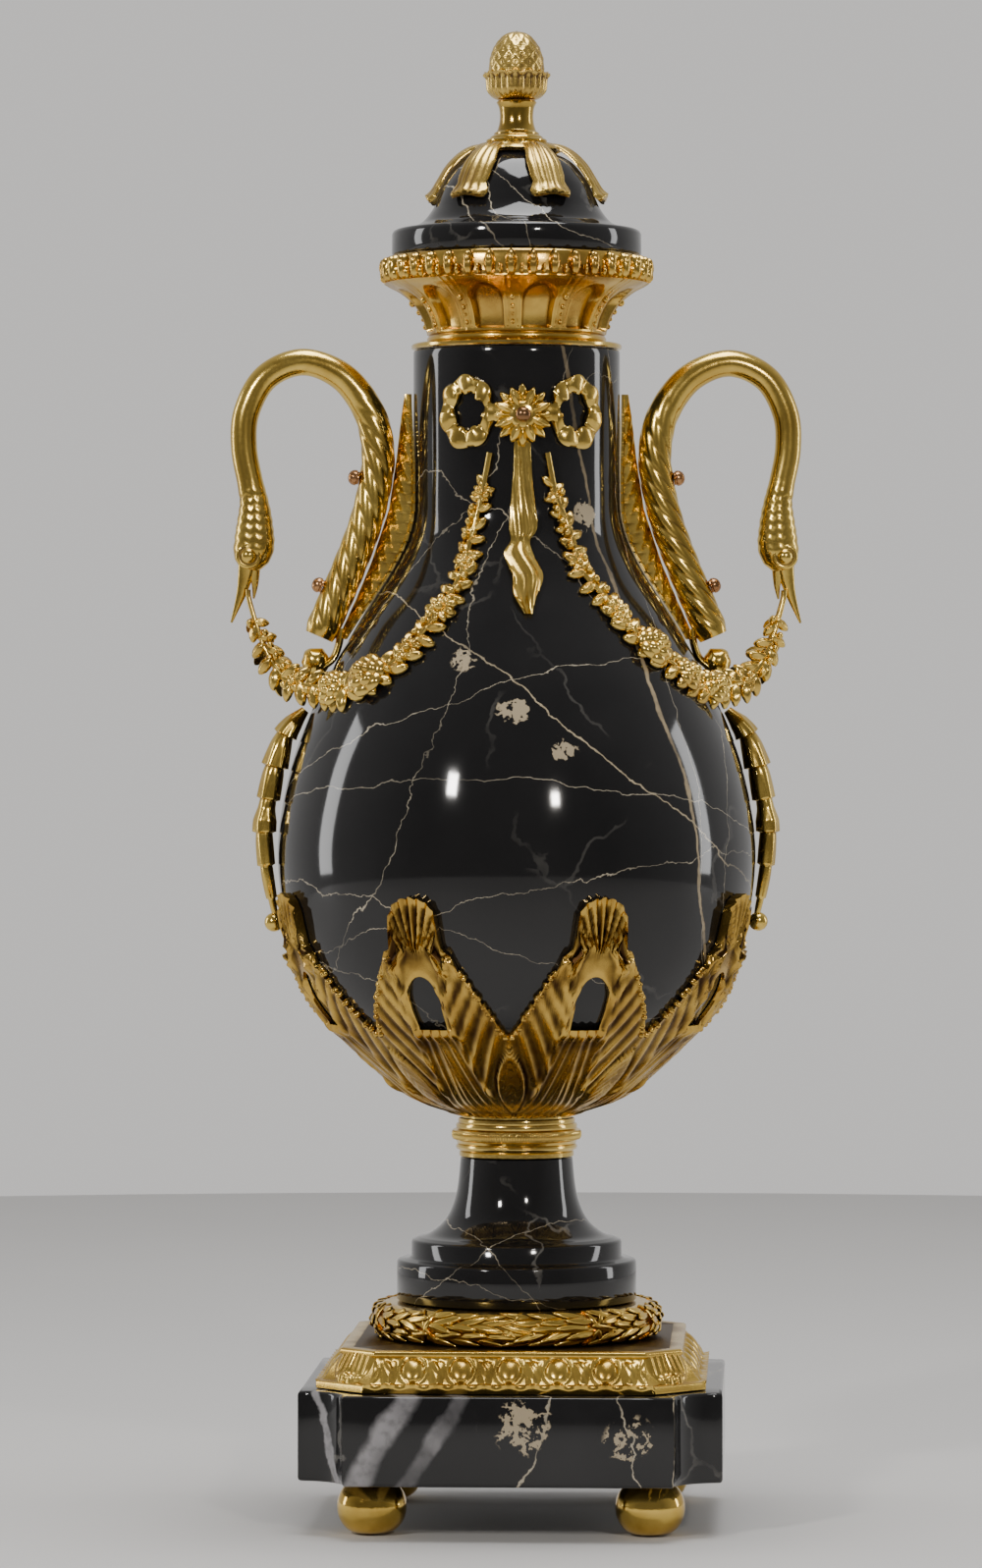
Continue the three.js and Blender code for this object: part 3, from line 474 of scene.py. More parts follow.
levels += [
    plinth_ring(63.0, 13.0, 65.9, flat),
    plinth_ring(63.2, 13.0, 66.4, flat),
    plinth_ring(63.0, 13.0, 67.5, flat),
    plinth_ring(62.3, 13.0, high[2], flat),
    plinth_ring(58.5, 11.0, high[2], flat),
    plinth_ring(58.0, 11.0, high[2] - 0.25, flat),
]
piece("plinth_tray", loft(levels), relief_gilding, "gilt", "plinth_mount", crease=60)

# ---- Laurel ring ---------------------------------------------------------------------------------
# A round bronze torus under the marble foot, chased with bundles of long laurel leaves, with berries
# between them and crossed ribbons that bind each bundle.

def strung_tree():
    """Sets one charm on every point, its back to the surface and its length along a given line."""
    tree = bpy.data.node_groups.new("Charms on points", "GeometryNodeTree")
    face = tree.interface
    face.new_socket("Geometry", in_out="OUTPUT", socket_type="NodeSocketGeometry")
    for label, kind in (("Geometry", "Geometry"), ("Charm", "Object"), ("Size", "Float"), ("Tumble", "Float"),
                        ("Seed", "Int"), ("Metal", "Material")):
        face.new_socket(label, in_out="INPUT", socket_type=f"NodeSocket{kind}")

    def node(kind, settings=(), **links):
        made = tree.nodes.new(kind)
        for key, value in dict(settings).items():
            setattr(made, key, value)
        for key, value in links.items():
            socket = made.inputs[key.replace("_", " ")]
            if isinstance(value, bpy.types.NodeSocket):
                tree.links.new(value, socket)
            else:
                socket.default_value = value
        return made

    inputs = node("NodeGroupInput").outputs
    charm = node("GeometryNodeObjectInfo", Object=inputs["Charm"], As_Instance=True)

    def named(label, kind):
        return node("GeometryNodeInputNamedAttribute", {"data_type": kind}, Name=label).outputs["Attribute"]

    axes = node("FunctionNodeAxesToRotation", {"primary_axis": "Z", "secondary_axis": "X"})
    tree.links.new(named("facing", "FLOAT_VECTOR"), axes.inputs[0])
    tree.links.new(named("along", "FLOAT_VECTOR"), axes.inputs[1])
    least = node("ShaderNodeMath", {"operation": "MULTIPLY"})
    tree.links.new(inputs["Tumble"], least.inputs[0])
    least.inputs[1].default_value = -1
    spin = node("FunctionNodeRandomValue", {"data_type": "FLOAT"}, Seed=inputs["Seed"])
    tree.links.new(least.outputs[0], spin.inputs[2])
    tree.links.new(inputs["Tumble"], spin.inputs[3])
    about = node("ShaderNodeCombineXYZ", Z=spin.outputs[1])
    turn = node("FunctionNodeEulerToRotation", Euler=about.outputs[0])
    turned_axes = node("FunctionNodeRotateRotation", {"rotation_space": "LOCAL"}, Rotation=axes.outputs[0])
    tree.links.new(turn.outputs[0], turned_axes.inputs[1])
    size = node("ShaderNodeMath", {"operation": "MULTIPLY"})
    tree.links.new(named("scale", "FLOAT"), size.inputs[0])
    tree.links.new(inputs["Size"], size.inputs[1])
    placed = node("GeometryNodeInstanceOnPoints", Points=inputs["Geometry"], Instance=charm.outputs["Geometry"],
                  Rotation=turned_axes.outputs[0], Scale=size.outputs[0])
    real = node("GeometryNodeRealizeInstances", Geometry=placed.outputs[0])
    metal = node("GeometryNodeSetMaterial", Geometry=real.outputs[0], Material=inputs["Metal"])
    tree.links.new(metal.outputs[0], node("NodeGroupOutput").inputs[0])
    return tree


charms_on_points = strung_tree()


def strung(charm, places, facing, along, metal, sizes=1.0, size=1.0, tumble=0.0, seed=1):
    """(points, faces) in mm of a charm, itself (points, faces), repeated at the given places."""
    count = len(places)
    mesh = bpy.data.meshes.new("places")
    mesh.from_pydata((np.asarray(places) * MM).tolist(), [], [])
    vectors = (("facing", facing), ("along", along))
    for label, values in vectors:
        values = np.broadcast_to(values, (count, 3)).astype(np.float32)
        mesh.attributes.new(label, "FLOAT_VECTOR", "POINT").data.foreach_set("vector", values.ravel())
    scales = np.broadcast_to(sizes, count).astype(np.float32)
    mesh.attributes.new("scale", "FLOAT", "POINT").data.foreach_set("value", scales)
    charm_mesh = bpy.data.meshes.new("charm")
    charm_mesh.from_pydata((charm[0] * MM).tolist(), [], charm[1])
    charm_object = bpy.data.objects.new("charm", charm_mesh)
    carrier = bpy.data.objects.new("carrier", mesh)
    bpy.context.scene.collection.objects.link(carrier)
    bpy.context.scene.collection.objects.link(charm_object)
    modifier = carrier.modifiers.new("Charms", "NODES")
    modifier.node_group = charms_on_points
    given = {"Charm": charm_object, "Size": size, "Tumble": tumble, "Seed": seed, "Metal": metal}
    for item in charms_on_points.interface.items_tree:
        if item.in_out == "INPUT" and item.name in given:
            modifier[item.identifier] = given[item.name]
    graph = bpy.context.evaluated_depsgraph_get()
    made = bpy.data.meshes.new_from_object(carrier.evaluated_get(graph), depsgraph=graph)
    points = np.empty(len(made.vertices) * 3)
    made.vertices.foreach_get("co", points)
    faces = [tuple(face.vertices) for face in made.polygons]
    carrier.modifiers.remove(modifier)
    for thing in (carrier, charm_object):
        bpy.data.objects.remove(thing)
    for used in (mesh, charm_mesh, made):
        bpy.data.meshes.remove(used)
    return points.reshape(-1, 3) / MM, faces


def dome(length, width, height, pointed=0.0, rib=0.0, rows=8, around=14):
    """A leaf, berry or bead along X with a flat back, rounded or pointed at its ends."""
    rings = []
    for t in np.linspace(0.02, 1, rows):
        angle = np.arange(around) * TAU / around
        taper = 1 - pointed * np.abs(np.cos(angle)) ** 3 * 0.35
        x = np.cos(angle) * length / 2 * t
        y = np.sin(angle) * width / 2 * t * taper
        lift = height * math.sqrt(max(0, 1 - t * t)) + rib * height * np.exp(-(y / (0.16 * width)) ** 2) * (1 - t)
        rings.append(np.stack([x, y, lift], -1))
    rings.append(rings[-1] + np.array([0, 0, -0.35 * height]))
    return loft(rings[::-1])


low, high = span("laurel_ring")
ring_radius, ring_middle = 54.2, (low[2] + high[2]) / 2
ring_half = (high[2] - low[2]) / 2
bundles = 10


def on_ring(degrees, tilt, lift=0.0):
    """A point on the torus, tilt degrees above its equator, and the way out of it."""
    out = np.cos(np.radians(tilt))
    radius = ring_radius - ring_half * 0.85 * (1 - out)
    outward = polar(out, degrees, np.sin(np.radians(tilt)))
    return polar(radius, degrees, ring_middle + ring_half * np.sin(np.radians(tilt))) + outward * lift, outward


section = [on_ring(0, tilt)[0] for tilt in np.linspace(-90, 90, 25)]
ring_core = turned([(0, low[2]), *[(-p[1] - 0.55, p[2]) for p in section], (0, high[2])], 144)
laurel_leaf = dome(15.5, 3.7, 0.75, pointed=1, rib=0.5)
berry = dome(1.9, 1.9, 1.0)
leaf_places, leaf_facing, leaf_along, berry_places, berry_facing = [], [], [], [], []
for bundle in range(bundles):
    start = 360 * bundle / bundles
    for row, tilt in enumerate((-52, -24, 4, 32, 56)):
        for step in range(3):
            degrees = start + 4.5 + 10.6 * step + (row % 2) * 4.2
            place, outward = on_ring(degrees, tilt, -0.35)
            sweep = 1 if start < 180 else -1
            leaf_places.append(place)
            leaf_facing.append(outward + 0.16 * sweep * polar(1, degrees + 90, 0))
            leaf_along.append(sweep * polar(1, degrees + 90, 0.12 * (1 if row % 2 else -1)))
    for tilt in (-38, -10, 20, 44):
        place, outward = on_ring(start + 9 + tilt * 0.1, tilt, -0.1)
        berry_places.append(place)
        berry_facing.append(outward)
leaves = strung(laurel_leaf, leaf_places, leaf_facing, leaf_along, relief_gilding, tumble=0.12, seed=3)
berries = strung(berry, berry_places, berry_facing, (0, 0, 1), relief_gilding)
ribbons = []
for bundle in range(bundles):
    for lean in (-1, 1):
        strip = []
        for tilt in np.linspace(-78, 78, 19):
            degrees = 360 * bundle / bundles + lean * tilt * 0.055
            place, outward = on_ring(degrees, tilt, 0.25 + (0.2 if lean > 0 else 0))
            side = polar(1, degrees + 90, 0)
            strip.append([place + side * 0.85, place + outward * 0.4, place - side * 0.85, place - outward * 0.9])
        ribbons.append(loft(strip))
piece("laurel_torus", gathered(ring_core, leaves, berries, *ribbons), relief_gilding, "gilt", "laurel_ring",
      crease=60)

# ---- Marble foot ---------------------------------------------------------------------------------
# Turned black marble: a round disc, a step, then a cove that sweeps up to the collar.

low, high = span("marble_foot")
disc_radius, disc_top, step_radius, step_top, neck_radius = high[0], 97.0, 39.6, 104.5, 21.1
cove = curve([(36.8, 105.2), (32, 106.9), (26.2, 112.5), (22.6, 122), (neck_radius, high[2])], 8)
foot_profile = [
    (0, low[2]), (disc_radius - 0.8, low[2]), (disc_radius, low[2] + 0.8), (disc_radius, disc_top - 1.2),
    (disc_radius - 0.4, disc_top - 0.4), (disc_radius - 1.3, disc_top), (step_radius + 1, disc_top + 0.3),
    (step_radius, disc_top + 1.2), (step_radius, step_top - 1.1), (step_radius - 0.4, step_top - 0.3),
    (step_radius - 1.3, step_top), *[tuple(p) for p in cove], (0, high[2]),
]
foot_stone = veined(
    "foot marble",
    [
        (cream, (-14, -40, 108), (0.75, 0.2, 0.65), 0.3, 16),
        (cream, (12, -30, 112), (-0.5, 0.3, 0.8), 0.28, 14),
        (cream, (-5, -44, 88), (0.2, 0.1, 1), 0.25, 18),
    ], scale=1.2)
piece("marble_foot_turned", turned(foot_profile, 128), foot_stone, "marble", "marble_foot", crease=55)

# ---- Knurled collar ------------------------------------------------------------------------------
# A turned bronze nut that ties the foot to the body: fine rings, and one band knurled for the fingers.

collar_gilding = gilding("turned gilding", (0.8, 0.58, 0.17), (0.64, 0.43, 0.11), (0.12, 0.08, 0.03), (0.14, 0.34))
low, high = span("knurled_collar")
band_radius, band_low, band_high = 24.0, 142.0, 145.5
collar = [
    (0, low[2]), (21.0, low[2]), (21.6, low[2] + 0.5), (21.6, 137.2), (21.2, 137.6), (22.6, 138.4), (22.9, 139.2),
    (22.6, 139.9), (22.0, 140.1), (22.4, 140.5), (22.6, 141.2), (23.2, 141.8), (band_radius, band_low),
    (band_radius, band_high), (23.2, 145.8), (22.7, 146.2), (22.9, 147.2), (22.6, 147.9), (21.9, 148.1),
    (22.1, 149.2), (21.8, 149.9), (20.9, 150.2), (20.9, high[2]), (0, high[2]),
]
knurls = 150
degrees = np.arange(knurls) * 360 / knurls
knurl = dome(band_high - band_low - 0.3, 0.72, 0.5, rows=4, around=8)
knurling = strung(knurl, polar(band_radius - 0.05, degrees, (band_low + band_high) / 2), polar(1, degrees, 0),
                  (0, 0, 1), collar_gilding)
piece("collar", gathered(turned(collar, 128), knurling), collar_gilding, "gilt", "knurled_collar")

# ---- Marble body ---------------------------------------------------------------------------------
# The vessel, turned from one block of black marble, hollow, and polished. Thin cream veins wander over
# the belly, a beige band runs down the neck, and a beige wedge opens under the belly's right side.

low, high = span("marble_body")
body_line = curve([
    (21.5, low[2]), (41, 160.5), (69.7, 186), (81.6, 204), (87.6, 226), (89.9, 253), (84.9, 282), (75, 308),
    (60.9, 334), (46.5, 357.4), (40, 373.5), (38.9, 389), (38.9, 412), (38.9, high[2] - 0.8)], 8)
body_heights, body_radii = body_line[:, 1], body_line[:, 0]


def body_radius(z):
    """The marble's radius at a height."""
    return np.interp(z, body_heights, body_radii)


def body_normal(degrees, z):
    """The way out of the marble."""
    slope = (body_radius(np.asarray(z) + 1) - body_radius(np.asarray(z) - 1)) / 2
    out = polar(1.0, degrees, -slope)
    return out / np.linalg.norm(out, axis=-1, keepdims=True)


def on_body(degrees, z, lift=0.0):
    return polar(body_radius(z) + lift, degrees, z)


wall = 8
bore = curve([(30.9, 385), (38, 357), (64, 309), (78, 253), (68, 207), (38, 180), (0.02, 170)], 6)
body_stone = veined(
    "body marble",
    [
        (cream, on_body(-42, 205), (0.52, 0.1, 0.85), 0.34, 22),
        (cream, on_body(-27, 258), (0.92, 0.2, -0.36), 0.3, 20),
        (cream, on_body(-20, 305), (-0.3, 0.2, 0.93), 0.28, 18),
        (cream, on_body(6, 238), (-0.22, 0.1, 0.97), 0.28, 20),
        (cream, on_body(-12, 222), (0.35, 0.1, 0.94), 0.26, 20),
        (cream, on_body(38, 272), (0.05, 0.25, 1), 0.3, 16),
        (cream, on_body(52, 250), (0.93, 0.4, 0.1), 0.26, 14),
        (cream, on_body(62, 235), (0.9, 0.5, -0.12), 0.26, 16),
        (cream, on_body(150, 250), (0.6, 0.5, 0.7), 0.4, 24),
        (cream, on_body(210, 280), (-0.7, 0.4, 0.6), 0.36, 26),
        ((0.42, 0.33, 0.2), on_body(38, 400), (0.9, 0.4, 0.2), 1.7, 10),
        ((0.46, 0.38, 0.25), on_body(12, 302), (0.62, 0.1, 0.78), 0.6, 16),
    ],
    lace=[(on_body(-14, 322), 8), (on_body(2, 303), 11), (on_body(14, 288), 9), (on_body(22, 222), 9),
          (on_body(42, 376), 11), (on_body(170, 300), 22)],
    crackle=0.1)
lip = [(38.6, high[2] - 0.25), (38.0, high[2]), (31.4, high[2]), (30.9, high[2] - 0.5)]
body_profile = [(0, low[2]), *[tuple(p) for p in body_line], *lip, *[tuple(p) for p in bore]]
piece("urn_body", turned(body_profile, 192), body_stone, "marble", "marble_body", crease=55)

# ---- Leaf cup ------------------------------------------------------------------------------------
# A calyx of eight acanthus leaves cast in one, that hugs the underside of the body. Each leaf has an
# arched window with a raised frame, two scrolls over it and a shell-shaped tip, and a beaded edge.
# Its gilding is painted browner and darker than the other gilt pieces as shade, and painted shade darkens its veins.

# Darker, browner colours than the other gilding stand in for the shade the cup sits in; the stronger hollow weight
# paints shade in its veins.
shaded_cup_gilding = gilding("shaded cup gilding", (0.66, 0.43, 0.1), (0.46, 0.27, 0.055), (0.055, 0.026, 0.009), (0.18, 0.42), 1.35,
                      verdigris=0.4)
low, high = span("leaf_cup")
cup_leaves, sector = 8, 45
cup_tip, cup_valley = high[2], 181.7
window = {"low": 186.0, "spring": 194.5, "top": 206.0, "half": 6.6}
per_leaf = 90
rows = {"foot": 9, "under": 13, "window": 12, "over": 22}


def leaf_edge(offset):
    """The height of a leaf's edge, by degrees from its middle."""
    line = np.interp(np.abs(offset), [0, 3, 5.2, 6.0, 6.6, 7.2, 9, 10.4, 14, 17.8, 20.5, 22.5],
                     [cup_tip, cup_tip - 1.0, cup_tip - 4, cup_tip - 8, 217.5, 216, 213.5, 208, 199.5, 191, 185, cup_valley])
    scallops = np.where(np.abs(offset) < 6.2, 0.9 * (np.abs(np.cos(offset * 1.55)) - 0.6), 0)
    teeth = np.where(np.abs(offset) > 10, 1.3 * np.abs(np.sin(offset * 1.8)), 0)
    return line + scallops + teeth


def leaf_rows(offset):
    """The heights of a column of points, from the foot of the cup to the edge."""
    inside = np.abs(offset) < window["half"] / 1.42
    away = np.clip((np.abs(offset) - window["half"] / 1.42) / (22.5 - window["half"] / 1.42), 0, 1)
    sill = window["low"] - 16 * away
    rise = np.sqrt(np.clip(1 - (offset * 1.42 / window["half"]) ** 2, 0, 1)) if inside else 0
    head = window["spring"] + (window["top"] - window["spring"]) * rise - 21 * away
    stops = [(155, rows["foot"]), (166 - 4 * away, rows["under"]), (sill, rows["window"]), (head, rows["over"])]
    heights = [np.linspace(low[2] + 1.2, 155, 4, endpoint=False)]
    ends = [*[z for z, _ in stops[1:]], leaf_edge(offset)]
    for (start, count), end in zip(stops, ends):
        heights.append(np.linspace(start, end, count, endpoint=False))
    return np.append(np.concatenate(heights), leaf_edge(offset))


def cup_relief(offset, z):
    """The chasing: how far the face of a leaf stands out, by degrees from its middle and height."""
    radius = body_radius(z)
    x = np.radians(offset) * radius
    side = np.abs(x)
    lift = np.full_like(z, 0.2)
    fan = np.arctan2(side, z - 207)
    shell_share = np.clip((z - 213) / 4, 0, 1) * (side < 10.5)
    lift += shell_share * (0.9 + 0.85 * np.cos(fan * 46) + 0.05 * (z - 213))
    frame_x = np.maximum(side - window["half"] + 0.2, 0)
    over = np.maximum(z - window["spring"], 0)
    arch = np.sqrt(side ** 2 + over ** 2) - window["half"]
    from_frame = np.where(z > window["spring"], arch, frame_x)
    frame_band = np.exp(-((from_frame - 1.5) / 1.15) ** 2) * (z > window["low"] - 4) * (z < 208)
    lift += 1.35 * frame_band
    scroll_x, scroll_z = side - 11.2, z - 210.5
    reach = np.sqrt(scroll_x ** 2 + scroll_z ** 2)
    spiral = 0.5 + 0.5 * np.cos(TAU * (reach / 3.8 - np.arctan2(scroll_z, -scroll_x) / TAU))
    lift += np.clip((5.9 - reach) / 1.2, 0, 1) * (0.6 + 1.7 * spiral)
    lip_share = np.exp(-((z - (window["low"] - 1.6)) / 1.9) ** 2) * (side < 8.5)
    lift += lip_share * (2.1 + 0.8 * np.cos(x * 1.9))
    stem = np.exp(-(x / 1.1) ** 2) * (z < window["low"] - 3) * 0.9
    blade = (z < window["low"] - 2) * (side < 9) * (0.35 * np.cos(side * 2.1 + (z - 150) * 0.16) + 0.3)
    lift += stem + blade
    edge = leaf_edge(offset)
    lobes = (side > 7.5) * (z < 212) * (z > 160)
    veins = np.cos((side * 0.95 - z * 0.62) * 1.15)
    lift += lobes * (0.35 + 0.7 * veins * np.clip((edge - z) / 5, 0.3, 1))
    main_vein = np.exp(-((side - 9.6 - (z - 185) * 0.05) / 0.9) ** 2) * lobes
    lift += 0.8 * main_vein
    from_valley = np.radians(22.5 - np.abs(offset)) * radius
    lance_half = 5.0 * np.sin(np.pi * np.clip((z - 153) / 25, 0, 1)) ** 0.7 + 0.01
    lance = np.clip(1 - (from_valley / lance_half) ** 2, 0, 1)
    herring = 0.22 * np.cos((from_valley * 1.4 + z) * 1.9)
    lift = np.where(lance > 0, np.maximum(lift * 0.6, 0.9 + 0.5 * np.sqrt(lance) + herring * lance), lift)
    groove = np.exp(-((from_valley - lance_half - 0.4) / 0.5) ** 2) * (z < 179)
    return lift - 0.9 * groove


columns, heights = [], []
for leaf in range(cup_leaves):
    for step in range(per_leaf):
        share = 2 * (step + 0.5) / per_leaf - 1
        offset = math.copysign(22.5 * abs(share) ** 1.35, share)
        columns.append((sector * (leaf + 0.5) + offset, offset))
        heights.append(leaf_rows(offset))
heights = np.array(heights).T
angles, offsets = np.array(columns).T
steepness = np.clip((heights - 150) / 22, 0.25, 1)
relief = cup_relief(np.broadcast_to(offsets, heights.shape), heights)
pinch = 1 - 0.34 * np.exp(-((heights - 215.5) / 3.2) ** 2) * (np.abs(offsets) < 6.3)
turned_by = angles - offsets + offsets * pinch
curl = 0.9 * np.clip((heights - leaf_edge(offsets) + 3) / 3, 0, 1)
outer = polar(body_radius(heights) + 0.9 + (0.65 + relief) / (0.4 + 0.6 * steepness) + curl * 0.3, turned_by, heights)
inner = polar(body_radius(heights) + 0.45, turned_by, heights)
foot_ring = [polar(np.full(len(angles), 22.6), angles, 152.0), polar(np.full(len(angles), 22.6), angles, low[2] + 0.1)]
outer = np.concatenate([[foot_ring[1]], outer])
inner = np.concatenate([[foot_ring[0]], inner])
count, across = outer.shape[:2]
first, last = 1 + 4 + rows["foot"] + rows["under"], 1 + 4 + rows["foot"] + rows["under"] + rows["window"]
in_window = np.abs(offsets) < window["half"] / 1.42
faces = []
for row in range(count - 1):
    for column in range(across):
        following = (column + 1) % across

        def open_cell(r, c):
            return r < 0 or r >= count - 1 or (first <= r < last and in_window[c % across] and in_window[(c + 1) % across])

        if open_cell(row, column):
            continue
        a, b = row * across + column, row * across + following
        c, d = a + across, b + across
        back = count * across
        faces.append((a, b, d, c))
        faces.append((a + back, c + back, d + back, b + back))
        if open_cell(row - 1, column):
            faces.append((a, a + back, b + back, b))
        if open_cell(row + 1, column):
            faces.append((d, d + back, c + back, c))
        if open_cell(row, column - 1):
            faces.append((c, c + back, a + back, a))
        if open_cell(row, column + 1):
            faces.append((b, b + back, d + back, d))
cup_shell = (np.vstack([outer.reshape(-1, 3), inner.reshape(-1, 3)]), faces)

bead_degrees, bead_heights = [], []
for leaf in range(cup_leaves):
    for side in (-1, 1):
        for offset in (10.6, 11.6, 12.7, 13.8, 14.9, 16.0, 17.1, 18.2, 19.3, 20.4, 21.5):
            bead_degrees.append(sector * (leaf + 0.5) + side * offset)
            bead_heights.append(leaf_edge(offset) - 0.5)
bead_degrees, bead_heights = np.array(bead_degrees), np.array(bead_heights)
edge_beads = strung(dome(2.9, 2.7, 1.9, rows=5, around=10), on_body(bead_degrees, bead_heights, 1.0),
                    body_normal(bead_degrees, bead_heights), (0, 0, 1), shaded_cup_gilding, tumble=0.4, seed=5)
piece("acanthus_cup", gathered(cup_shell, edge_beads), shaded_cup_gilding, "gilt", "leaf_cup", crease=65, reach=4)

# ---- Neck ring -----------------------------------------------------------------------------------
# A thin turned washer of burnished bronze that caps the marble's neck.

low, high = span("neck_ring")
washer = [(31, low[2]), (high[0] - 0.5, low[2]), (high[0], low[2] + 0.5), (high[0], high[2] - 0.5),
          (high[0] - 0.5, high[2]), (31, high[2])]
degrees = np.arange(128) * 360 / 128
piece("neck_washer", loft([polar(r, degrees, z) for r, z in washer], join=True), collar_gilding, "gilt", "neck_ring")

# ---- Fluted gallery ------------------------------------------------------------------------------
# A cast and pierced-looking bronze throat: twelve pilasters, each with a string of drops, stand between
# deep round-headed flutes painted dark red-brown as shade, under a rim of paired gadroons. The lid rests on it.

# The dark red-brown hollow colour is painted shade in the deep flutes.
gallery_gilding = gilding("gallery gilding", (0.78, 0.52, 0.12), (0.6, 0.36, 0.08), (0.12, 0.045, 0.014), (0.2, 0.4),
                          1.1)
low, high = span("fluted_gallery")
bays = 12
throat = curve([(33.4, 444.6), (33.8, 446.5), (35.3, 451), (38.4, 456), (43.2, 460.2), (47.6, 462.6), (49.6, 463.8)], 7)
degrees = np.arange(600) * 0.6
from_pilaster = (degrees + 15) % 30 - 15
rings = [polar(r, degrees, z) for r, z in ((28.2, low[2]), (33.0, low[2]), (33.6, low[2] + 0.5), (33.8, 442.9),
                                            (33.4, 443.6), (32.9, 444.2))]
for r, z in throat:
    share = np.clip((z - 445.2) / 16.5, 0, 1)
    edge = np.clip((np.abs(from_pilaster) - 3.9) / 1.3, 0, 1)
    arch = np.clip((9.6 * math.sqrt(max(0, 1 - max(0, (share - 0.62) / 0.36) ** 2)) - np.abs(15 - np.abs(from_pilaster)))
                   / 1.1, 0, 1)
    foot = min(1.0, max(0.0, (share - 0.02) / 0.06))
    flute = 3.4 * (0.75 + 0.6 * share) * np.minimum(edge, arch) * foot * (share < 0.99)
    frame_line = 0.45 * np.exp(-((np.abs(from_pilaster) - 3.2) / 0.5) ** 2) * foot
    swell = 0.35 * np.exp(-(from_pilaster / 1.6) ** 2)
    rings.append(polar(r - flute + frame_line + swell, degrees, z))
rim = [(49.2, 464.0), (49.0, 464.6), (48.6, 465.3), (48.4, 466.2), (48.4, 468), (48.4, 471.6), (48.0, 473),
       (47.4, high[2]), (40, high[2]), (39.0, 472.5), (36, 462), (28.2, 450)]
rings += [polar(r, degrees, z) for r, z in rim]
gadroons = 38
lobe = dome(9.6, 4.25, 2.5, rows=7, around=16)
small_lobe = dome(5.4, 2.7, 1.1, rows=6, around=12)
degrees = np.arange(gadroons) * 360 / gadroons
rim_facing = polar(1.0, degrees, 0.12)
lobes = strung(lobe, polar(49.0, degrees, 468.9), rim_facing, (0, 0, 1), gallery_gilding)
knots = strung(small_lobe, polar(50.7, degrees, 470.4), rim_facing, (0, 0, 1), gallery_gilding)
between = strung(dome(4.2, 1.5, 1.5, rows=5, around=8), polar(50.0, degrees + 180 / gadroons, 466.4), rim_facing,
                 (0, 0, 1), gallery_gilding)
drops, drop_facing, drop_sizes = [], [], []
for bay in range(bays):
    for height, size in ((447.6, 0.8), (450.4, 0.6), (453.2, 0.9), (456.6, 1.15)):
        radius = np.interp(height, throat[:, 1], throat[:, 0])
        drops.append(polar(radius + 0.3, bay * 30.0, height))
        drop_facing.append(polar(1.0, bay * 30.0, -0.6))
        drop_sizes.append(size)
pilaster_drops = strung(dome(2.6, 1.9, 1.2, rows=5, around=10), drops, drop_facing, (0, 0, 1), gallery_gilding,
                        drop_sizes)
piece("gallery", gathered(loft(rings, join=True), lobes, knots, between, pilaster_drops), gallery_gilding, "gilt",
      "fluted_gallery", crease=60)

# ---- Marble lid ----------------------------------------------------------------------------------
# A turned, hollow bell of the same black marble, with a plain vertical rim. It only rests on the gallery.

low, high = span("marble_lid")
bell = curve([(39.4, 485.0), (35.5, 487.0), (31.9, 491.5), (29.4, 496.6), (26.2, 503), (20.4, 509.8), (12, 513.4),
              (0.02, high[2])], 7)
rim_radius = high[0]
lid_profile = [(36, low[2]), (rim_radius - 0.6, low[2]), (rim_radius, low[2] + 0.6), (rim_radius, 482.2),
               (rim_radius - 0.5, 483.4), (rim_radius - 1.6, 484), (41, 484.4), *[tuple(p) for p in bell]]
under = [tuple(p) for p in curve([(0.02, 502), (14, 500.5), (22, 495), (30, 484), (36, low[2])], 5)[:-1]]
lid_stone = veined(
    "lid marble",
    [
        (cream, (-12, -30, 500), (0.85, 0.4, 0.3), 0.3, 16),
        (cream, (-8, -44, 480), (0.9, 0.2, 0.5), 0.5, 12),
        (cream, (24, -36, 480), (0.5, -0.2, 0.8), 0.25, 14),
    ], scale=1.3)
piece("lid_bell", turned([*under, *lid_profile], 144), lid_stone, "marble", "marble_lid", crease=55)

# ---- Lid leaf mount ------------------------------------------------------------------------------
# Six acanthus leaves cast round a collar. They droop over the bell and curl out at their lobed ends.

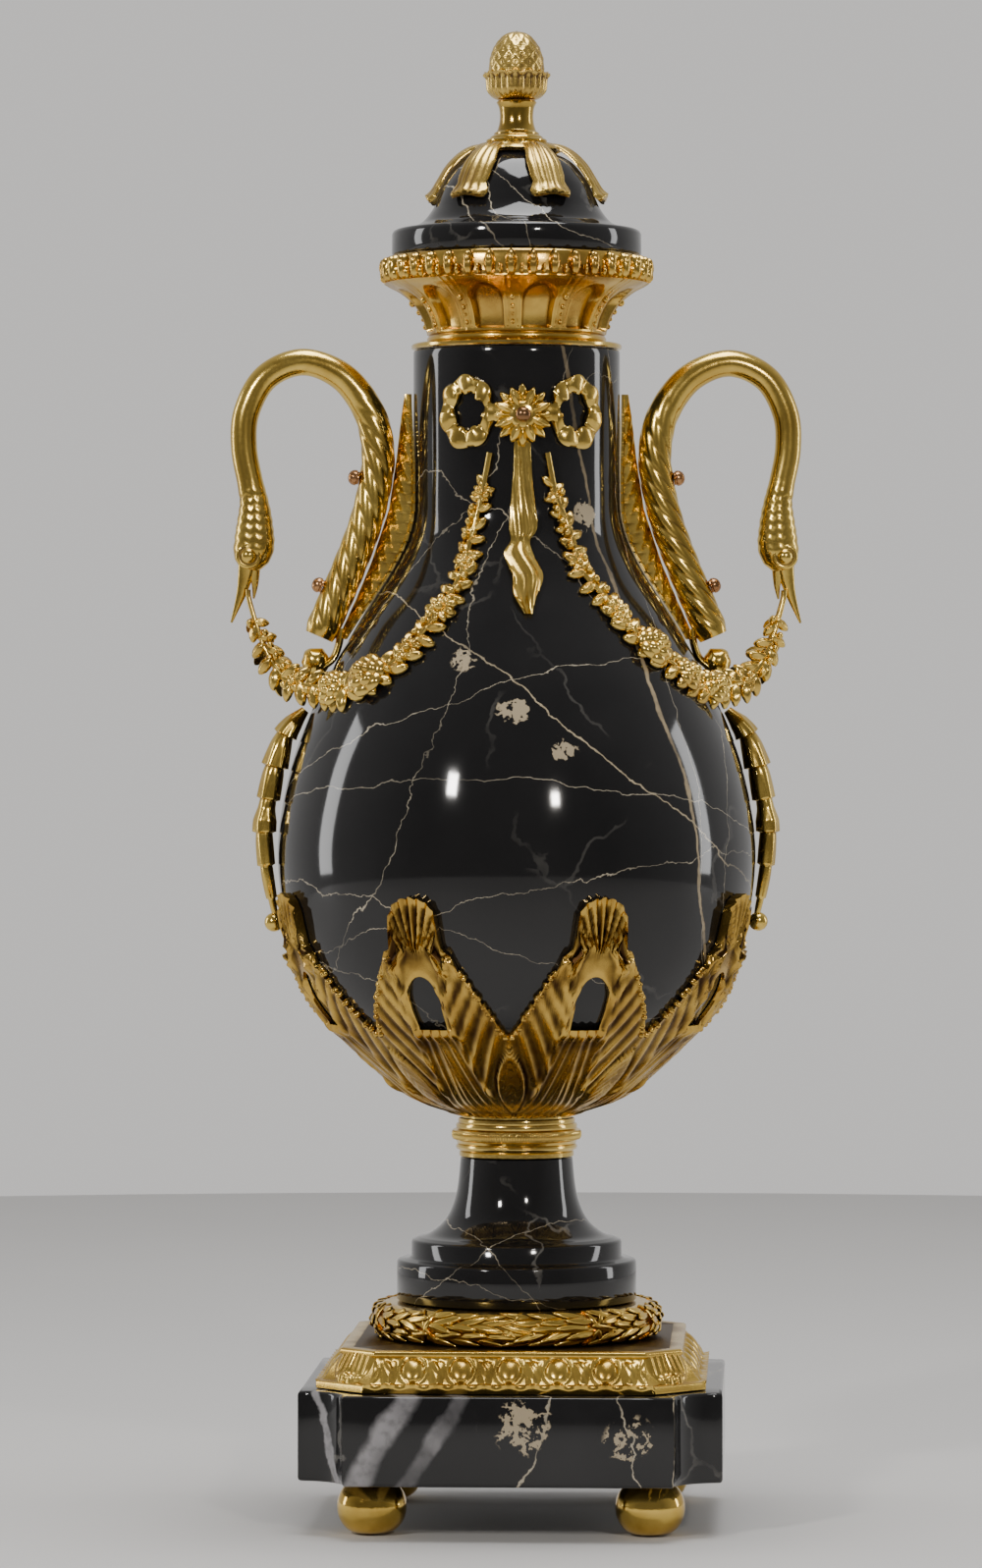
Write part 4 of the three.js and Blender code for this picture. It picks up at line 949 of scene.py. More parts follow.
lid_gilding = gilding("lid gilding", (0.74, 0.52, 0.14), (0.56, 0.36, 0.09), (0.14, 0.085, 0.035), (0.26, 0.48), 1.1)
low, high = span("lid_leaf_mount")
droop = curve([(13, 516.2), (17, 515.2), (21.5, 512.4), (26, 507.6), (29.4, 502), (31.6, 498.2), (33.4, 496.4),
               (high[0] - 0.25, 496.1)], 5)
across = np.linspace(-1, 1, 41)
lengths = np.linspace(0, 1, len(droop))
leaf_shapes = []
for leaf in range(6):
    middle = -3 + 30 + 60 * leaf
    face, back = [], []
    for share in np.linspace(0, 1, 46):
        lobes = 1 - np.abs(np.cos(across * math.pi * 2.5))
        reached = share * (1 - 0.13 * across ** 2 - 0.075 * lobes * share ** 2)
        r, z = (np.interp(reached, lengths, droop[:, k]) for k in (0, 1))
        half_width = np.interp(share, [0, 0.2, 0.45, 0.62, 0.7, 0.86, 1], [4.0, 4.8, 7.2, 7.2, 6.6, 8.6, 7.6])
        x = across * half_width
        crown = 1.2 * (1 - across ** 2) * (0.3 + 0.7 * share)
        ribs = 0.5 * (1 - lobes) * min(1, share * 2.5) + 0.35 * np.exp(-(across / 0.08) ** 2)
        sag = -1.8 * across ** 2 * share
        turn = middle + np.degrees(np.arctan2(x, r))
        tuck = 0.75 * max(0, (share - 0.97) / 0.03)
        face.append(polar(r + 0.5 * (crown + ribs) * (1 - tuck), turn, z + 0.75 * (crown + ribs) * (1 - tuck) + sag))
        back.append(polar(r - 0.5, turn, z - 0.8 + sag))
    closed = [np.vstack([top, bottom[::-1]]) for top, bottom in zip(face, back)]
    leaf_shapes.append(loft(closed))
collar_profile = [(8, 514.9), (12, 514.7), (15, 513.6), (16.4, 513.4), (17, 514.1), (16.2, 515.2), (14.4, 515.9),
                  (14, high[2] - 0.2), (8, high[2])]
degrees = np.arange(96) * 360 / 96
waves = 0.35 * np.cos(np.radians(degrees * 12))
collar_rings = [polar(r + (waves if 14 < r < 17.5 else 0), degrees, z) for r, z in collar_profile]
piece("lid_leaves", gathered(loft(collar_rings, join=True), *leaf_shapes), lid_gilding, "gilt", "lid_leaf_mount",
      crease=65)

# ---- Finial stem ---------------------------------------------------------------------------------
# A turned and burnished baluster, screwed down through the lid.

low, high = span("finial_stem")
stem_profile = [
    (0, low[2]), (11.1, low[2]), (11.5, low[2] + 0.4), (11.5, low[2] + 0.9), (11.1, low[2] + 1.3), (10.2, 518.5),
    (9.9, 519.2), (9.2, 519.6), (8.6, 520.0), (8.5, 520.6), (8.0, 521.0),
    *[tuple(p) for p in curve([(7.4, 521.4), (6.6, 524), (6.3, 527), (6.6, 530), (7.3, 531.6)], 4)],
    (7.6, 532.1), (7.3, high[2] - 0.1), (7, high[2]), (0, high[2])]
piece("finial_baluster", turned(stem_profile, 96), burnished, "gilt", "finial_stem")

# ---- Finial bud ----------------------------------------------------------------------------------
# A pine cone of overlapping scales, in a cup of leaves whose tips bend out. Cast and chased.

low, high = span("finial_bud")
degrees = np.arange(288) * 360 / 288
cup_line = curve([(7.2, low[2] + 0.1), (9.2, 534.2), (10.8, 536.6), (11.2, 539.4), (11.4, 541.2), (12.5, 543.0)], 5)
calyx = [polar(r + (0.7 * np.abs(np.cos(np.radians(degrees * 3.5))) - 0.35 + 0.25 * np.cos(np.radians(degrees * 28)))
               * np.clip((z - 533.6) / 3, 0, 1), degrees, z + 0.5 * np.cos(np.radians(degrees * 14)) * (z > 542))
         for r, z in cup_line]
calyx += [polar(r, degrees, z) for r, z in ((11.5, 543.4), (10, 542.6))]
cone_line = curve([(10, 542.6), (10.3, 545.5), (9.9, 549), (8.7, 552.6), (6.4, 556), (3.6, 558.3), (0.02, high[2])], 14)
scales_round, scale_rows = 12, 8.0
cone = []
for step, (r, z) in enumerate(cone_line):
    row = (z - 542.6) / (high[2] - 542.6) * scale_rows
    around = degrees * scales_round / 360
    a, b = around + row / 2, around - row / 2
    diamond = np.minimum(np.abs(a % 1 - 0.5), np.abs(b % 1 - 0.5)) * 2
    slope = 0.5 + 0.5 * np.cos(TAU * (row % 1))
    bump = (0.85 * (1 - diamond) ** 0.6 * 0.8 + 0.15 * slope) * min(1, r / 5)
    cone.append(polar(r - 0.55 + bump, degrees, np.full_like(degrees, z)))
piece("finial_cone", loft([*calyx, *cone[1:]]), lid_gilding, "gilt", "finial_bud", crease=60)

# ---- Swan-neck handles ---------------------------------------------------------------------------
# Two swans' necks in cast bronze rise from beside the body, twisted like rope below and smooth over the
# crest, and come down to feathered heads with long open bills. Two domed screws hold each to the body.

swan_gilding = gilding("swan gilding", (0.82, 0.58, 0.14), (0.62, 0.41, 0.09), (0.16, 0.1, 0.03), (0.2, 0.42), 0.9)
body_turn = 5.5
neck_line = curve([
    (74.4, 331.0), (64.8, 353), (57, 373.3), (53, 390), (52.3, 402), (55.6, 415.5), (65.5, 428.6), (80.3, 434.2),
    (94.2, 428.6), (101.6, 415.5), (102.6, 402), (100.2, 388.5), (98.7, 380), (99.2, 367), (100.2, 356)], 12)


def turned_about(shape, degrees):
    """A shape turned about the urn's axis."""
    c, s = math.cos(math.radians(degrees)), math.sin(math.radians(degrees))
    points = shape[0]
    spun = np.stack([points[:, 0] * c - points[:, 1] * s, points[:, 0] * s + points[:, 1] * c, points[:, 2]], -1)
    return spun, shape[1]


def along_line(line, section, sideways=(0.0, 1.0, 0.0)):
    """Rings on a line in space: section(share, length so far) gives (outward, sideways) offsets."""
    line = np.asarray(line, float)
    lengths = np.concatenate([[0], np.cumsum(np.linalg.norm(np.diff(line, axis=0), axis=1))])
    tangents = np.gradient(line, axis=0)
    tangents /= np.linalg.norm(tangents, axis=1)[:, None]
    rings = []
    for place, tangent, length in zip(line, tangents, lengths):
        side = np.array(sideways) - tangent * np.dot(sideways, tangent)
        side /= np.linalg.norm(side)
        out = np.cross(side, tangent)
        offsets = np.asarray(section(length / lengths[-1], length))
        rings.append(place + offsets[:, :1] * out + offsets[:, 1:] * side)
    return rings


def resampled(line, count):
    """The same line in even steps."""
    line = np.asarray(line, float)
    lengths = np.concatenate([[0], np.cumsum(np.linalg.norm(np.diff(line, axis=0), axis=1))])
    even = np.linspace(0, lengths[-1], count)
    return np.stack([np.interp(even, lengths, line[:, k]) for k in range(line.shape[1])], -1)


neck_sides = 84
around_neck = np.arange(neck_sides) * TAU / neck_sides


def neck_section(share, length):
    """The neck's outline: roped below, smooth over the crest, feathered down the head."""
    radius = np.interp(share, [0, 0.012, 0.02, 0.38, 0.55, 0.84, 0.875, 0.91, 0.94, 0.965, 0.985, 1],
                       [5.4, 6.1, 6.3, 6.2, 5.1, 4.9, 5.3, 6.6, 7.5, 7.7, 6.4, 3.4])
    rope = np.interp(share, [0, 0.02, 0.34, 0.47], [0, 1, 1, 0])
    strands = np.abs(np.sin(3.5 * (around_neck + length * 0.105)))
    fine = np.cos(28 * (around_neck + length * 0.105))
    feathers = np.interp(share, [0.845, 0.87, 0.95, 0.975], [0, 1, 1, 0])
    rows = np.cos(length * 1.75 + 2.0 * np.abs(np.cos(around_neck * 6)))
    reach = radius * (1 + rope * (0.09 * (strands ** 0.6 - 0.75) + 0.006 * fine)) + feathers * 0.12 * rows
    flat = np.interp(share, [0.86, 0.94], [1, 0.82])
    shift = np.interp(share, [0.88, 0.95, 1], [0, 0.6, 0])
    return np.stack([reach * np.cos(around_neck) + shift, reach * flat * np.sin(around_neck)], -1)


def bill(root, bend, tip, root_size, tip_size, groove):
    """One half of the bill, a tapering hooked blade."""
    line = resampled(curve([root, bend, tip], 10), 26)
    line = np.stack([line[:, 0], np.zeros(len(line)), line[:, 1]], -1)

    def section(share, length):
        a = np.arange(20) * TAU / 20
        size = root_size + (tip_size - root_size) * share ** 0.8
        edge = 1 - groove * np.exp(-((np.abs(a - math.pi) - 0.0) / 0.5) ** 2)
        return np.stack([size * np.cos(a) * edge, size * 0.78 * np.sin(a)], -1)

    return loft(along_line(line, section))


neck_path = resampled(np.stack([neck_line[:, 0], np.zeros(len(neck_line)), neck_line[:, 1]], -1), 300)
eyes = []
for side in (-1, 1):
    centre = np.array([101.0, side * 5.3, 361.2])
    rings = []
    for reach, lift in ((4.9, 0.0), (4.5, 0.55), (4.0, 0.9), (3.6, 0.55), (3.1, 0.6), (2.7, 1.0), (2.3, 1.9), (1.7, 2.5),
                        (0.9, 2.85), (0.05, 3.0)):
        a = np.arange(28) * TAU / 28
        rings.append(centre + np.stack([reach * np.cos(a), np.full(28, side * lift * 0.8), reach * np.sin(a)], -1))
    eyes.append(loft([rings[0] - np.array([0, side * 2.5, 0]), *rings]))
swan = gathered(
    loft(along_line(neck_path, neck_section)),
    *eyes,
    bill((101.4, 359.5), (103.6, 348), (107.4, 336.2), 4.6, 0.45, 0.3),
    bill((99.4, 358.5), (98.6, 351), (99.0, 345.2), 3.4, 0.4, 0.2))
nut_line = [(0, 0), (2.3, 0), (2.5, 0.35), (2.4, 0.7), (2.9, 1.0), (2.95, 1.8), (2.7, 2.7), (2.0, 3.6), (1.0, 4.1), (0, 4.2)]
screw_bronze = gilding("screw bronze", (0.5, 0.27, 0.12), (0.36, 0.18, 0.08), (0.1, 0.05, 0.025), (0.24, 0.42))


def domed(line, place, direction, sides=28):
    """Turned work standing on a place and pointing in a direction."""
    points, faces = turned(line, sides)
    axis = Vector((0, 0, 1)).rotation_difference(Vector(direction)).to_matrix()
    return points @ np.array(axis).T + np.asarray(place), faces


for side, degrees in (("right", 0), ("left", 180)):
    piece(f"swan_neck_{side}", turned_about(swan, degrees + body_turn), swan_gilding, "gilt", f"swan_{side}", crease=70)
    for level, length in (("upper", 0.295), ("lower", 0.086)):
        step = int(length * 299)
        place = neck_path[step]
        tangent = neck_path[step + 1] - neck_path[step - 1]
        out = np.cross((0, 1, 0), tangent / np.linalg.norm(tangent))
        nut = domed(nut_line, place + out * 6.35, out)
        piece(f"domed_nut_{side}_{level}", turned_about(nut, degrees + body_turn), screw_bronze, "copper",
              f"screw_{side}_{level}")

# ---- Feather mounts ------------------------------------------------------------------------------
# Behind each neck a long bronze leaf, cut like a wing feather, lies in a channel against the marble. At its
# foot a small scroll takes the end of the neck.

feather_heights = np.linspace(330, 422.3, 150)
feather_side = np.linspace(-1, 1, 37)


def feather_half(z):
    return np.interp(z, [330, 338, 345, 365, 395, 412, 422.3], [3, 6.5, 8.8, 11, 9, 5, 0.5])


def feather_rings():
    rings = []
    for z in feather_heights:
        crest = np.interp(z, [330, 345, 358.9, 378.9, 397.4, 413.3, 422.5], [67.2, 60.4, 54.6, 48, 45.2, 43.4, 42])
        tooth = (z / 3.7) % 1
        half = feather_half(z) * (1 - 0.09 * tooth)
        y = feather_side * half
        back = np.sqrt((body_radius(z) + 0.7) ** 2 - y ** 2)
        rise = (crest - np.sqrt((body_radius(z) + 0.7) ** 2 - half ** 2)) * (1 - np.abs(feather_side) ** 1.7)
        barbs = 0.28 * np.cos(np.abs(y) * 1.7 + z * 1.03) * np.abs(feather_side) ** 0.5
        spine = 0.5 * np.exp(-(y / 0.8) ** 2)
        face = np.maximum(np.sqrt((body_radius(z) + 0.7) ** 2 - half ** 2) + rise + barbs, back + 0.9)
        face = np.minimum(face + spine * 0.4, crest + 0.15)
        front = np.stack([face, y, np.full_like(y, z)], -1)
        behind = np.stack([np.minimum(back, face - 0.8), y, np.full_like(y, z)], -1)
        rings.append(np.vstack([front, behind[::-1]]))
    return rings


scroll_centre = np.array([75.8, 0.0, 321.4])
scroll_rings = []
for t in np.linspace(-math.pi / 2, math.pi / 2, 17):
    a = np.arange(36) * TAU / 36
    groove = 1 + 0.035 * np.cos(a * 9 + t * 2)
    top = np.minimum(np.sin(a) * groove, 0.86)
    scroll_rings.append(scroll_centre + np.stack([5.1 * math.cos(t) * np.cos(a) * groove,
                                                  np.full(36, 5.4 * math.sin(t)), 6.1 * math.cos(t) * top], -1))
stalk_line = curve([(66.2, 334), (66.9, 328.5), (69.0, 323), (73, 319.5)], 8)
stalk_line = np.stack([stalk_line[:, 0], np.zeros(len(stalk_line)), stalk_line[:, 1]], -1)


def stalk_section(share, length):
    a = np.arange(20) * TAU / 20
    return np.stack([1.5 * np.cos(a), 3.9 * np.sin(a) * (1 + 0.08 * np.cos(a * 6))], -1)


feather = gathered(loft(feather_rings()), loft(scroll_rings), loft(along_line(stalk_line, stalk_section)))
for side, degrees in (("right", 0), ("left", 180)):
    piece(f"feather_leaf_{side}", turned_about(feather, degrees + body_turn), swan_gilding, "gilt", f"feather_{side}",
          crease=60)

# ---- Side drops ----------------------------------------------------------------------------------
# A string of bellflower husks hangs under each handle, follows the belly and ends in a small ball
# between two leaves of the cup.

drop_line = curve([(79.6, 303.4), (86.6, 295), (90.4, 284.5), (92.9, 273), (94.9, 260), (94.5, 248), (93.2, 238),
                   (90.9, 226.5)], 12)
drop_path = resampled(np.stack([drop_line[:, 0], np.zeros(len(drop_line)), drop_line[:, 1]], -1), 150)


def husk_section(share, length):
    """Nested husks: each opens downwards over the next."""
    a = np.arange(32) * TAU / 32
    z = np.interp(share, np.linspace(0, 1, 150), drop_path[:, 2])
    x = np.interp(share, np.linspace(0, 1, 150), drop_path[:, 0])
    envelope = np.interp(share, [0, 0.08, 0.2, 0.34, 0.5, 0.56, 0.8, 0.97, 1], [2.2, 3.9, 4.8, 4.9, 3.9, 4.6, 2.9, 1.5, 1.2])
    husk = (share * 6.5) % 1
    flare = 0.74 + 0.26 * husk ** 0.7
    petals = 1 + 0.09 * np.cos(a * 6) * husk
    size = envelope * flare * petals
    room = x - body_radius(z) - 0.45
    return np.stack([np.minimum(size, room) * np.cos(a), size * 1.3 * np.sin(a)], -1)


ball_line = [(3.6 * math.cos(t), 3.6 * math.sin(t)) for t in np.linspace(-math.pi / 2, math.pi / 2, 15)]
drop = gathered(loft(along_line(drop_path, husk_section)), domed(ball_line, (91.35, 0, 223.6), (1, 0, 0.1)))
for side, degrees in (("right", 0), ("left", 180)):
    piece(f"husk_drop_{side}", turned_about(drop, degrees + body_turn), swan_gilding, "gilt", f"drop_{side}", crease=60)

# ---- Garlands ------------------------------------------------------------------------------------
# Swags of roses, daisies, buds and leaves, cast in halves. Each half leaves the bow, lies on the shoulder
# and ends in the swan's bill. The ones at the back carry fewer flowers.

flower_gilding = gilding("flower gilding", (0.82, 0.58, 0.15), (0.62, 0.41, 0.1), (0.13, 0.08, 0.03), (0.2, 0.42))
swag_on_body = {
    1: [(13.2, 398.6), (17.6, 383.3), (24, 370), (26, 353.7), (33.6, 343), (41, 330), (53, 318.6), (67, 311.2)],
    -1: [(17.2, 398.6), (21.4, 383.3), (25.5, 367), (27, 352), (33.2, 336), (42, 321.4), (57, 311.6), (69, 310.6)]}
swag_to_bill = [(84.5, -13, 313.6), (91, -7.6, 320), (96.2, -3.6, 330.4), (100.4, -1.6, 344), (101, -1.4, 348.6)]
swag_flowers = {
    1: [(0.09, 2.6), (0.24, 3.3), (0.37, 4.4), (0.47, 5.6), (0.57, 4.6), (0.67, 4.8), (0.77, 3.6)],
    -1: [(0.08, 3), (0.23, 3.6), (0.34, 4.8), (0.44, 4), (0.54, 6.2), (0.66, 5.2), (0.77, 3.8)]}


def swag_frame(side):
    """Places down half a swag with the way out, the way along and the way across at each."""
    resting = [on_body(side * degrees, z, 0.9) for degrees, z in swag_on_body[side]]
    free = [(side * x, y, z) for x, y, z in swag_to_bill]
    places = resampled(curve([*resting, *free], 14), 240)
    along = np.gradient(places, axis=0)
    along /= np.linalg.norm(along, axis=1)[:, None]
    out = []
    for step, (place, tangent) in enumerate(zip(places, along)):
        degrees = math.degrees(math.atan2(place[0], -place[1]))
        away = body_normal(degrees, place[2])
        if step > 0.8 * 240:
            away = 0.1 * away + 0.9 * np.array([0, -1, 0])
        away = away - tangent * np.dot(away, tangent)
        out.append(away / np.linalg.norm(away))
    out = np.array(out)
    return places, out, along, np.cross(along, out)


def rose(radius):
    """A full rose: three whorls of cupped petals round a tight heart."""
    shapes = []
    for whorl, (petals, reach, lift, curl) in enumerate(
            ((6, 1.0, 0.12, 0.34), (5, 0.76, 0.34, 0.3), (4, 0.5, 0.52, 0.22))):
        for petal in range(petals):
            turn = TAU * (petal + 0.5 * (whorl % 2)) / petals
            petal_points, sides = dome(1.15 * reach * radius, 1.1 * reach * radius, 0.34 * radius, rows=5, around=12)
            bent = petal_points.copy()
            bent[:, 0] += 0.45 * reach * radius
            bent[:, 2] += lift * radius + curl * radius * (bent[:, 0] / (reach * radius)) ** 2 * 0.6
            c, s = math.cos(turn), math.sin(turn)
            shapes.append((np.stack([bent[:, 0] * c - bent[:, 1] * s, bent[:, 0] * s + bent[:, 1] * c, bent[:, 2]], -1),
                           sides))
    heart, sides = dome(0.6 * radius, 0.6 * radius, 0.4 * radius)
    shapes.append((heart + np.array([0, 0, 0.72 * radius]), sides))
    return gathered(*shapes)


def daisy(radius, petals=9):
    """Flat petals round a domed eye."""
    shapes = []
    for petal in range(petals):
        turn = TAU * petal / petals
        blade, sides = dome(0.8 * radius, 0.46 * radius, 0.3 * radius, rib=-0.5, rows=6, around=12)
        blade = blade + np.array([0.58 * radius, 0, 0.12 * radius])
        c, s = math.cos(turn), math.sin(turn)
        shapes.append((np.stack([blade[:, 0] * c - blade[:, 1] * s, blade[:, 0] * s + blade[:, 1] * c, blade[:, 2]], -1),
                       sides))
    eye, sides = dome(0.62 * radius, 0.62 * radius, 0.4 * radius)
    shapes.append((eye + np.array([0, 0, 0.22 * radius]), sides))
    return gathered(*shapes)


def swag(side, plain):
    """Half a swag: a stem, flowers on it, and leaves and buds on either hand."""
    places, out, along, across = swag_frame(side)
    angles = np.arange(10) * TAU / 10
    stem_rings = []
    for step, place in enumerate(places):
        half = 1.15 if step < 200 else 0.95
        stem_rings.append(place + out[step] * (half + 0.1) + half * (
            np.cos(angles)[:, None] * across[step] + np.sin(angles)[:, None] * out[step] * 0.9))
    shapes = [loft(stem_rings)]
    blooms = {"rose": [], "daisy": []}
    for number, (share, radius) in enumerate(swag_flowers[side]):
        if plain and radius < 4.5:
            continue
        blooms["rose" if radius > 4.5 and number != 2 else "daisy"].append((int(share * 239), radius))
    for charm, chosen in ((rose(1.0), blooms["rose"]), (daisy(1.0), blooms["daisy"])):
        if chosen:
            steps = [step for step, _ in chosen]
            shapes.append(strung(charm, places[steps] + out[steps] * 0.6, out[steps], along[steps], flower_gilding,
                                 sizes=[radius * 1.42 for _, radius in chosen], tumble=2.0, seed=5))
    leaf_steps, leaf_side = [], []
    for step in range(14, 226, 8 if plain else 4):
        leaf_steps.append(step)
        leaf_side.append(1 if len(leaf_steps) % 2 else -1)
    leaf_side = np.array(leaf_side)[:, None]
    lie = across[leaf_steps] * leaf_side
    forward = -along[leaf_steps] * 0.7 + lie
    leaf_out = out[leaf_steps] + lie * 0.2
    swell = np.interp(leaf_steps, [14, 90, 150, 200, 226], [1.4, 3.0, 4.2, 3.0, 1.6])[:, None]
    seats = places[leaf_steps] + lie * swell + out[leaf_steps] * 0.75
    shapes.append(strung(dome(9.0, 4.9, 1.5, pointed=0.9, rib=0.6, rows=6, around=12), seats, leaf_out, forward, flower_gilding,
                         sizes=np.interp(leaf_steps, [14, 90, 150, 200, 226], [0.75, 1.0, 1.15, 1.0, 0.7]), tumble=0.5, seed=8))
    bud_steps = list(range(20, 228, 13 if plain else 7))
    bud_side = np.array([-1 if (step // 4) % 2 else 1 for step in bud_steps])[:, None]
    seats = places[bud_steps] + across[bud_steps] * bud_side * 2.2 + out[bud_steps] * 1.6
    shapes.append(strung(dome(3.6, 2.8, 2.3, rows=5, around=10), seats, out[bud_steps], along[bud_steps], flower_gilding,
                         tumble=0.5, seed=2))
    return gathered(*shapes)


swags = (("front_right", 1, False, 0), ("front_left", -1, False, 0), ("back_left", 1, True, 180),
         ("back_right", -1, True, 180))
for name, side, plain, degrees in swags:
    piece(f"swag_{name}", turned_about(swag(side, plain), degrees + body_turn), flower_gilding, "gilt",
          f"garland_{name}", crease=60)

# ---- Bows ----------------------------------------------------------------------------------------
# A ribbon bow holds each pair of swags to the neck. Crimped loops stand either side of a star of pointed
# petals, a pleated tail hangs in front, and a dark domed pin goes through the middle.

ribbon_gilding = gilding("ribbon gilding", (0.84, 0.59, 0.15), (0.62, 0.41, 0.09), (0.15, 0.09, 0.03), (0.18, 0.4))
pin_bronze = gilding("pin bronze", (0.34, 0.18, 0.08), (0.22, 0.11, 0.05), (0.07, 0.04, 0.02), (0.24, 0.4))
bow_height, neck_radius = 412.6, 38.9
tail_stations = [
    (405, 3, 0, 1), (390, 3.6, 0, 1.6), (371.9, 5.2, 0.2, 2.6), (366, 3.6, -1, 2.4), (361, 5.4, -1.8, 3.8),
    (353, 5.8, 1.2, 4.6), (345.6, 4.6, 0.2, 4.2), (338.6, 1.6, 1.2, 1.6)]


def on_neck(across, up, lift):
    """A flat drawing bent round the neck."""
    z = bow_height + up
    angle = across / (neck_radius + 3)
    radius = body_radius(z) + lift
    return np.stack([radius * np.sin(angle), -radius * np.cos(angle), z], -1)


def ribbon_loop(side):
    """One crimped loop."""
    rings = []
    for angle in np.linspace(0, TAU, 160, endpoint=False):
        crimp = 0.95 * (abs(math.cos(angle * 3.5 + 0.6)) - 0.5)
        edge = 0.5 * math.cos(angle * 7 + 2)
        half = 3.1 - 1.2 * math.exp(-((angle - math.pi) / 0.55) ** 2) + 0.5 * math.exp(-((angle - 5.2) / 0.8) ** 2)
        profile = [(-half - edge, 0.7), (half + edge, 0.7), (half + 0.1 + edge, 2.0 + crimp),
                   (half * 0.6, 2.9 + crimp * 1.3), (0, 2.5 + crimp), (-half * 0.6, 2.9 + crimp * 1.3),
                   (-half - 0.1 - edge, 2.0 + crimp)]
        ring = [on_neck(side * (22 + (8.9 + outward) * math.cos(angle)), 1.4 + (10.2 + outward) * math.sin(angle), lift)
                for outward, lift in profile]
        rings.append(ring)
    return loft(rings, join=True)


def bow(petals):
    """The whole bow: star, loops and tail."""
    front = body_radius(bow_height) + 0.6
    shapes = [ribbon_loop(-1), ribbon_loop(1)]
    for petal in range(petals):
        turn = TAU * petal / petals
        reach = 11.9 if petal % 2 == 0 else 11.2
        blade, sides = dome(9.6, 3.9 * 16 / petals, 1.5, pointed=1, rib=0.5, rows=8, around=18)
        blade = blade + np.array([reach - 4.8, 0, 1.3 + 0.9 * (petal % 2)])
        c, s = math.sin(turn), math.cos(turn)
        flat = np.stack([blade[:, 0] * c - blade[:, 1] * s, -front - blade[:, 2],
                         bow_height + blade[:, 0] * s + blade[:, 1] * c], -1)
        shapes.append((flat, sides))
    eye_line = [(0, 0.1), (5.6, 0.1), (5.6, 2.2), (5.0, 3.0), (4.4, 3.5), (3.9, 3.7), (0, 3.7)]
    shapes.append(domed(eye_line, (0, -front, bow_height), (0, -1, 0), 48))
    knot = []
    for x in np.linspace(-13, 13, 27):
        half = 3.3 + 0.3 * math.cos(x * 2)
        knot.append([(x, -front - lift, bow_height + 1 + up) for up, lift in
                     ((-half, 0.1), (half, 0.1), (half, 1.6), (half * 0.4, 2.3), (-half * 0.4, 2.3), (-half, 1.6))])
    shapes.append(loft(knot))
    stations = curve(tail_stations, 12)
    tail = []
    for z, half, shift, thick in stations:
        back = body_radius(z) + 0.6
        spread = np.linspace(-1, 1, 15)
        x = shift + spread * half
        surface = np.sqrt(np.maximum((back) ** 2 - x ** 2, 1))
        lift = thick * (0.75 + 0.25 * np.cos(spread * 5 + z * 0.12)) * (1 - 0.35 * spread ** 4)
        lift = lift + 0.18 * np.cos(spread * 14 + z * 0.3)
        face = np.stack([x, -surface - np.maximum(lift, 0.5), np.full(15, z)], -1)
        behind = np.stack([x, -surface, np.full(15, z)], -1)
        tail.append(np.vstack([face, behind[::-1]]))
    shapes.append(loft(tail))
    return gathered(*shapes)


pin_line = [(0, 0), (2.9, 0), (2.9, 1.5), (2.7, 2.2), (2.1, 3.0), (1.2, 3.5), (0, 3.7)]
for name, petals, degrees in (("front", 16, 0), ("back", 8, 180)):
    piece(f"ribbon_bow_{name}", turned_about(bow(petals), degrees + body_turn), ribbon_gilding, "gilt", f"bow_{name}",
          crease=55)
    pin = domed(pin_line, (0, -body_radius(bow_height) - 4.9, bow_height), (0, -1, 0))
    piece(f"domed_pin_{name}", turned_about(pin, degrees + body_turn), pin_bronze, "copper", f"pin_{name}")

# ---- Studio --------------------------------------------------------------------------------------
# A plain pale floor, soft boxes of light on either hand and above, and a quiet grey room.

floor = Finish("studio floor", Roughness=0.8)
pale = floor.blend(floor.cloud(3), (0.64, 0.63, 0.62), (0.6, 0.59, 0.58))
depth = floor.node("ShaderNodeSeparateXYZ", {}, floor.place)["Y"]
floor.feed("Base Color", floor.blend(floor.ease(depth, -1.2, -0.25), (0.36, 0.355, 0.35), pale))
floor.feed("Roughness", 0.75 + floor.cloud(8) * 0.1)
floor.emboss(floor.cloud(40), 0.05, 0.001)
bpy.ops.mesh.primitive_circle_add(vertices=96, radius=1.6, fill_type="NGON", location=(0, 0, -0.0005))
ground = bpy.context.object
ground.name = "studio_floor"
ground.data.materials.append(floor.material)


def soft_box(name, place, aim, width, height, power, tint=(1, 1, 1)):
    """A rectangle of light pointed at a place."""
    lamp = bpy.data.lights.new(name, "AREA")
    lamp.shape, lamp.size, lamp.size_y = "RECTANGLE", width, height
    lamp.energy, lamp.color = power, tint
    box = bpy.data.objects.new(name, lamp)
    box.location = place
    box.rotation_euler = (Vector(aim) - Vector(place)).to_track_quat("-Z", "Y").to_euler()
    bpy.context.scene.collection.objects.link(box)


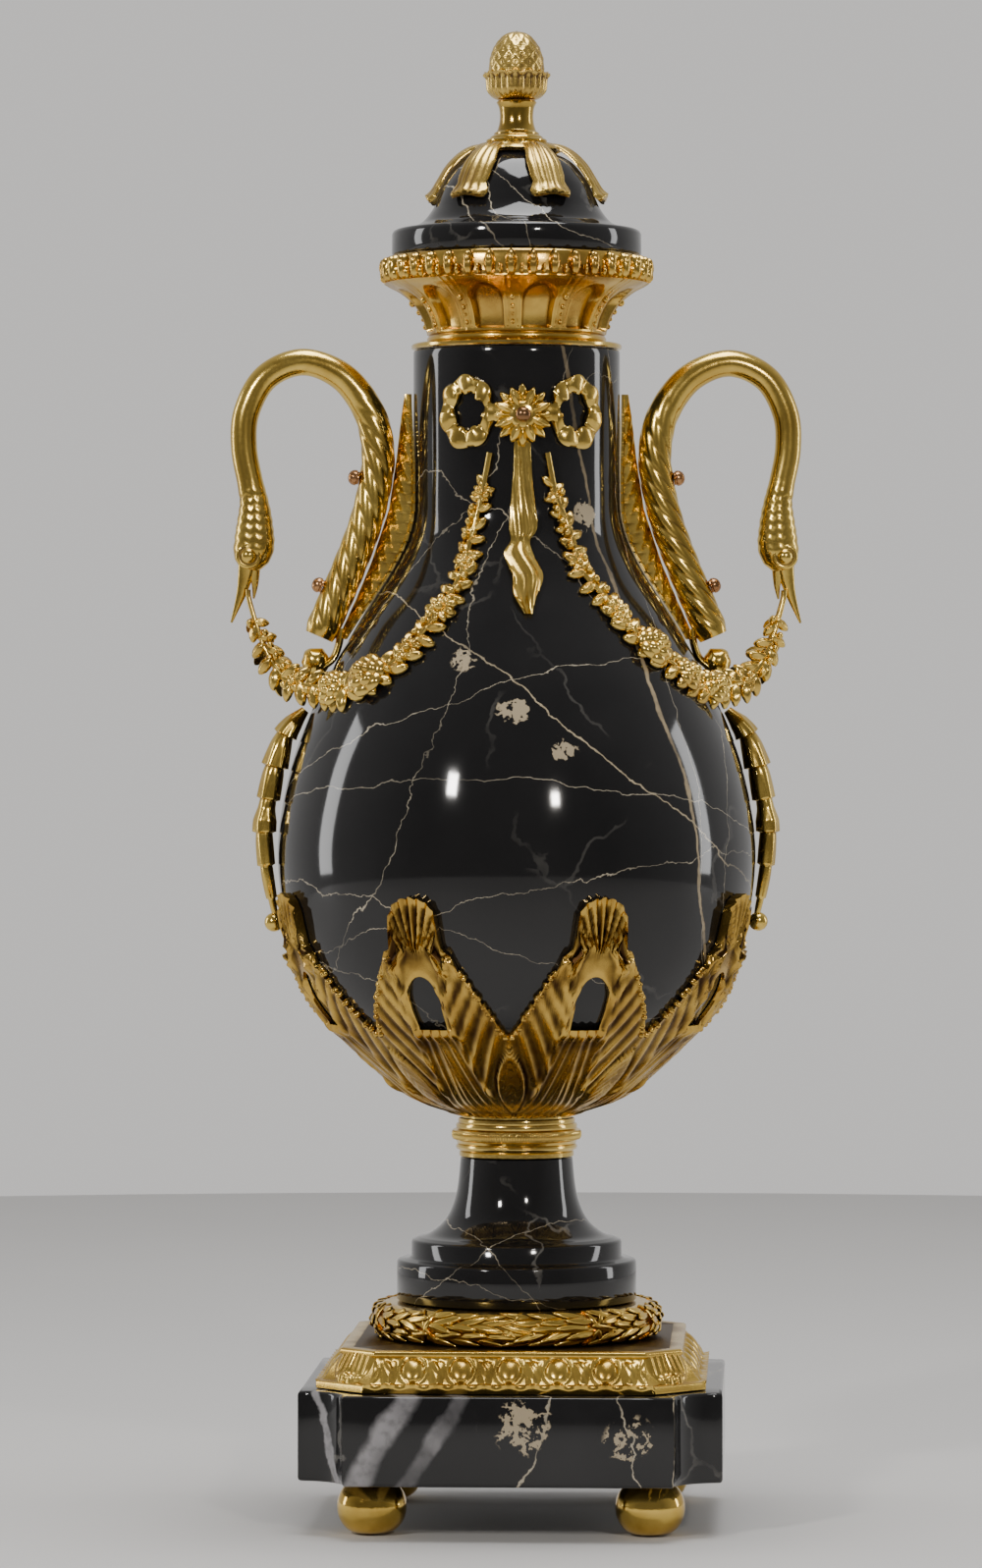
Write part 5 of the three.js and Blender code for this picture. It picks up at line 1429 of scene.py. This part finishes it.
soft_box("window", (-1.0, -1.7, 1.15), (0, 0, 0.3), 0.16, 0.2, 15, (1, 0.97, 0.93))
soft_box("lamp", (0.75, -1.9, 1.05), (0, 0, 0.3), 0.12, 0.12, 9, (1, 0.95, 0.88))
soft_box("ceiling", (0.1, -0.1, 1.9), (0, 0, 0.3), 0.9, 0.9, 24)
soft_box("left_wall", (-1.7, 0.3, 0.6), (0, 0, 0.3), 0.3, 1.1, 6)
soft_box("right_wall", (1.7, 0.4, 0.6), (0, 0, 0.3), 0.25, 1.1, 5)

room = bpy.data.worlds.new("room")
room.use_nodes = True
bpy.context.scene.world = room
tree = room.node_tree
rays = tree.nodes.new("ShaderNodeLightPath")
seen = tree.nodes.new("ShaderNodeBackground")
seen.inputs["Color"].default_value = (0.68, 0.665, 0.65, 1)
felt = tree.nodes.new("ShaderNodeBackground")
where = tree.nodes.new("ShaderNodeTexCoord")
split = tree.nodes.new("ShaderNodeSeparateXYZ")
ramp = tree.nodes.new("ShaderNodeValToRGB")
ramp.color_ramp.elements[0].color = (0.15, 0.145, 0.14, 1)
ramp.color_ramp.elements[1].color = (0.62, 0.61, 0.6, 1)
reach = tree.nodes.new("ShaderNodeMapRange")
reach.inputs["From Min"].default_value = -0.7
reach.inputs["From Max"].default_value = 0.9
mixed = tree.nodes.new("ShaderNodeMixShader")
tree.links.new(where.outputs["Generated"], split.inputs[0])
tree.links.new(split.outputs["Y"], reach.inputs["Value"])
tree.links.new(reach.outputs[0], ramp.inputs[0])
tree.links.new(ramp.outputs[0], felt.inputs["Color"])
tree.links.new(rays.outputs["Is Camera Ray"], mixed.inputs[0])
tree.links.new(felt.outputs[0], mixed.inputs[1])
tree.links.new(seen.outputs[0], mixed.inputs[2])
tree.links.new(mixed.outputs[0], tree.nodes["World Output"].inputs["Surface"])

camera = bpy.data.cameras.new("camera")
camera.lens, camera.sensor_width, camera.shift_y = 141.5, 36, -0.0398
camera.clip_end = 20
eye = bpy.data.objects.new("camera", camera)
eye.location = (0.0957, -2.32, 0.299)
eye.rotation_euler = (math.radians(90), 0, math.radians(2.6))
bpy.context.scene.collection.objects.link(eye)
bpy.context.scene.camera = eye
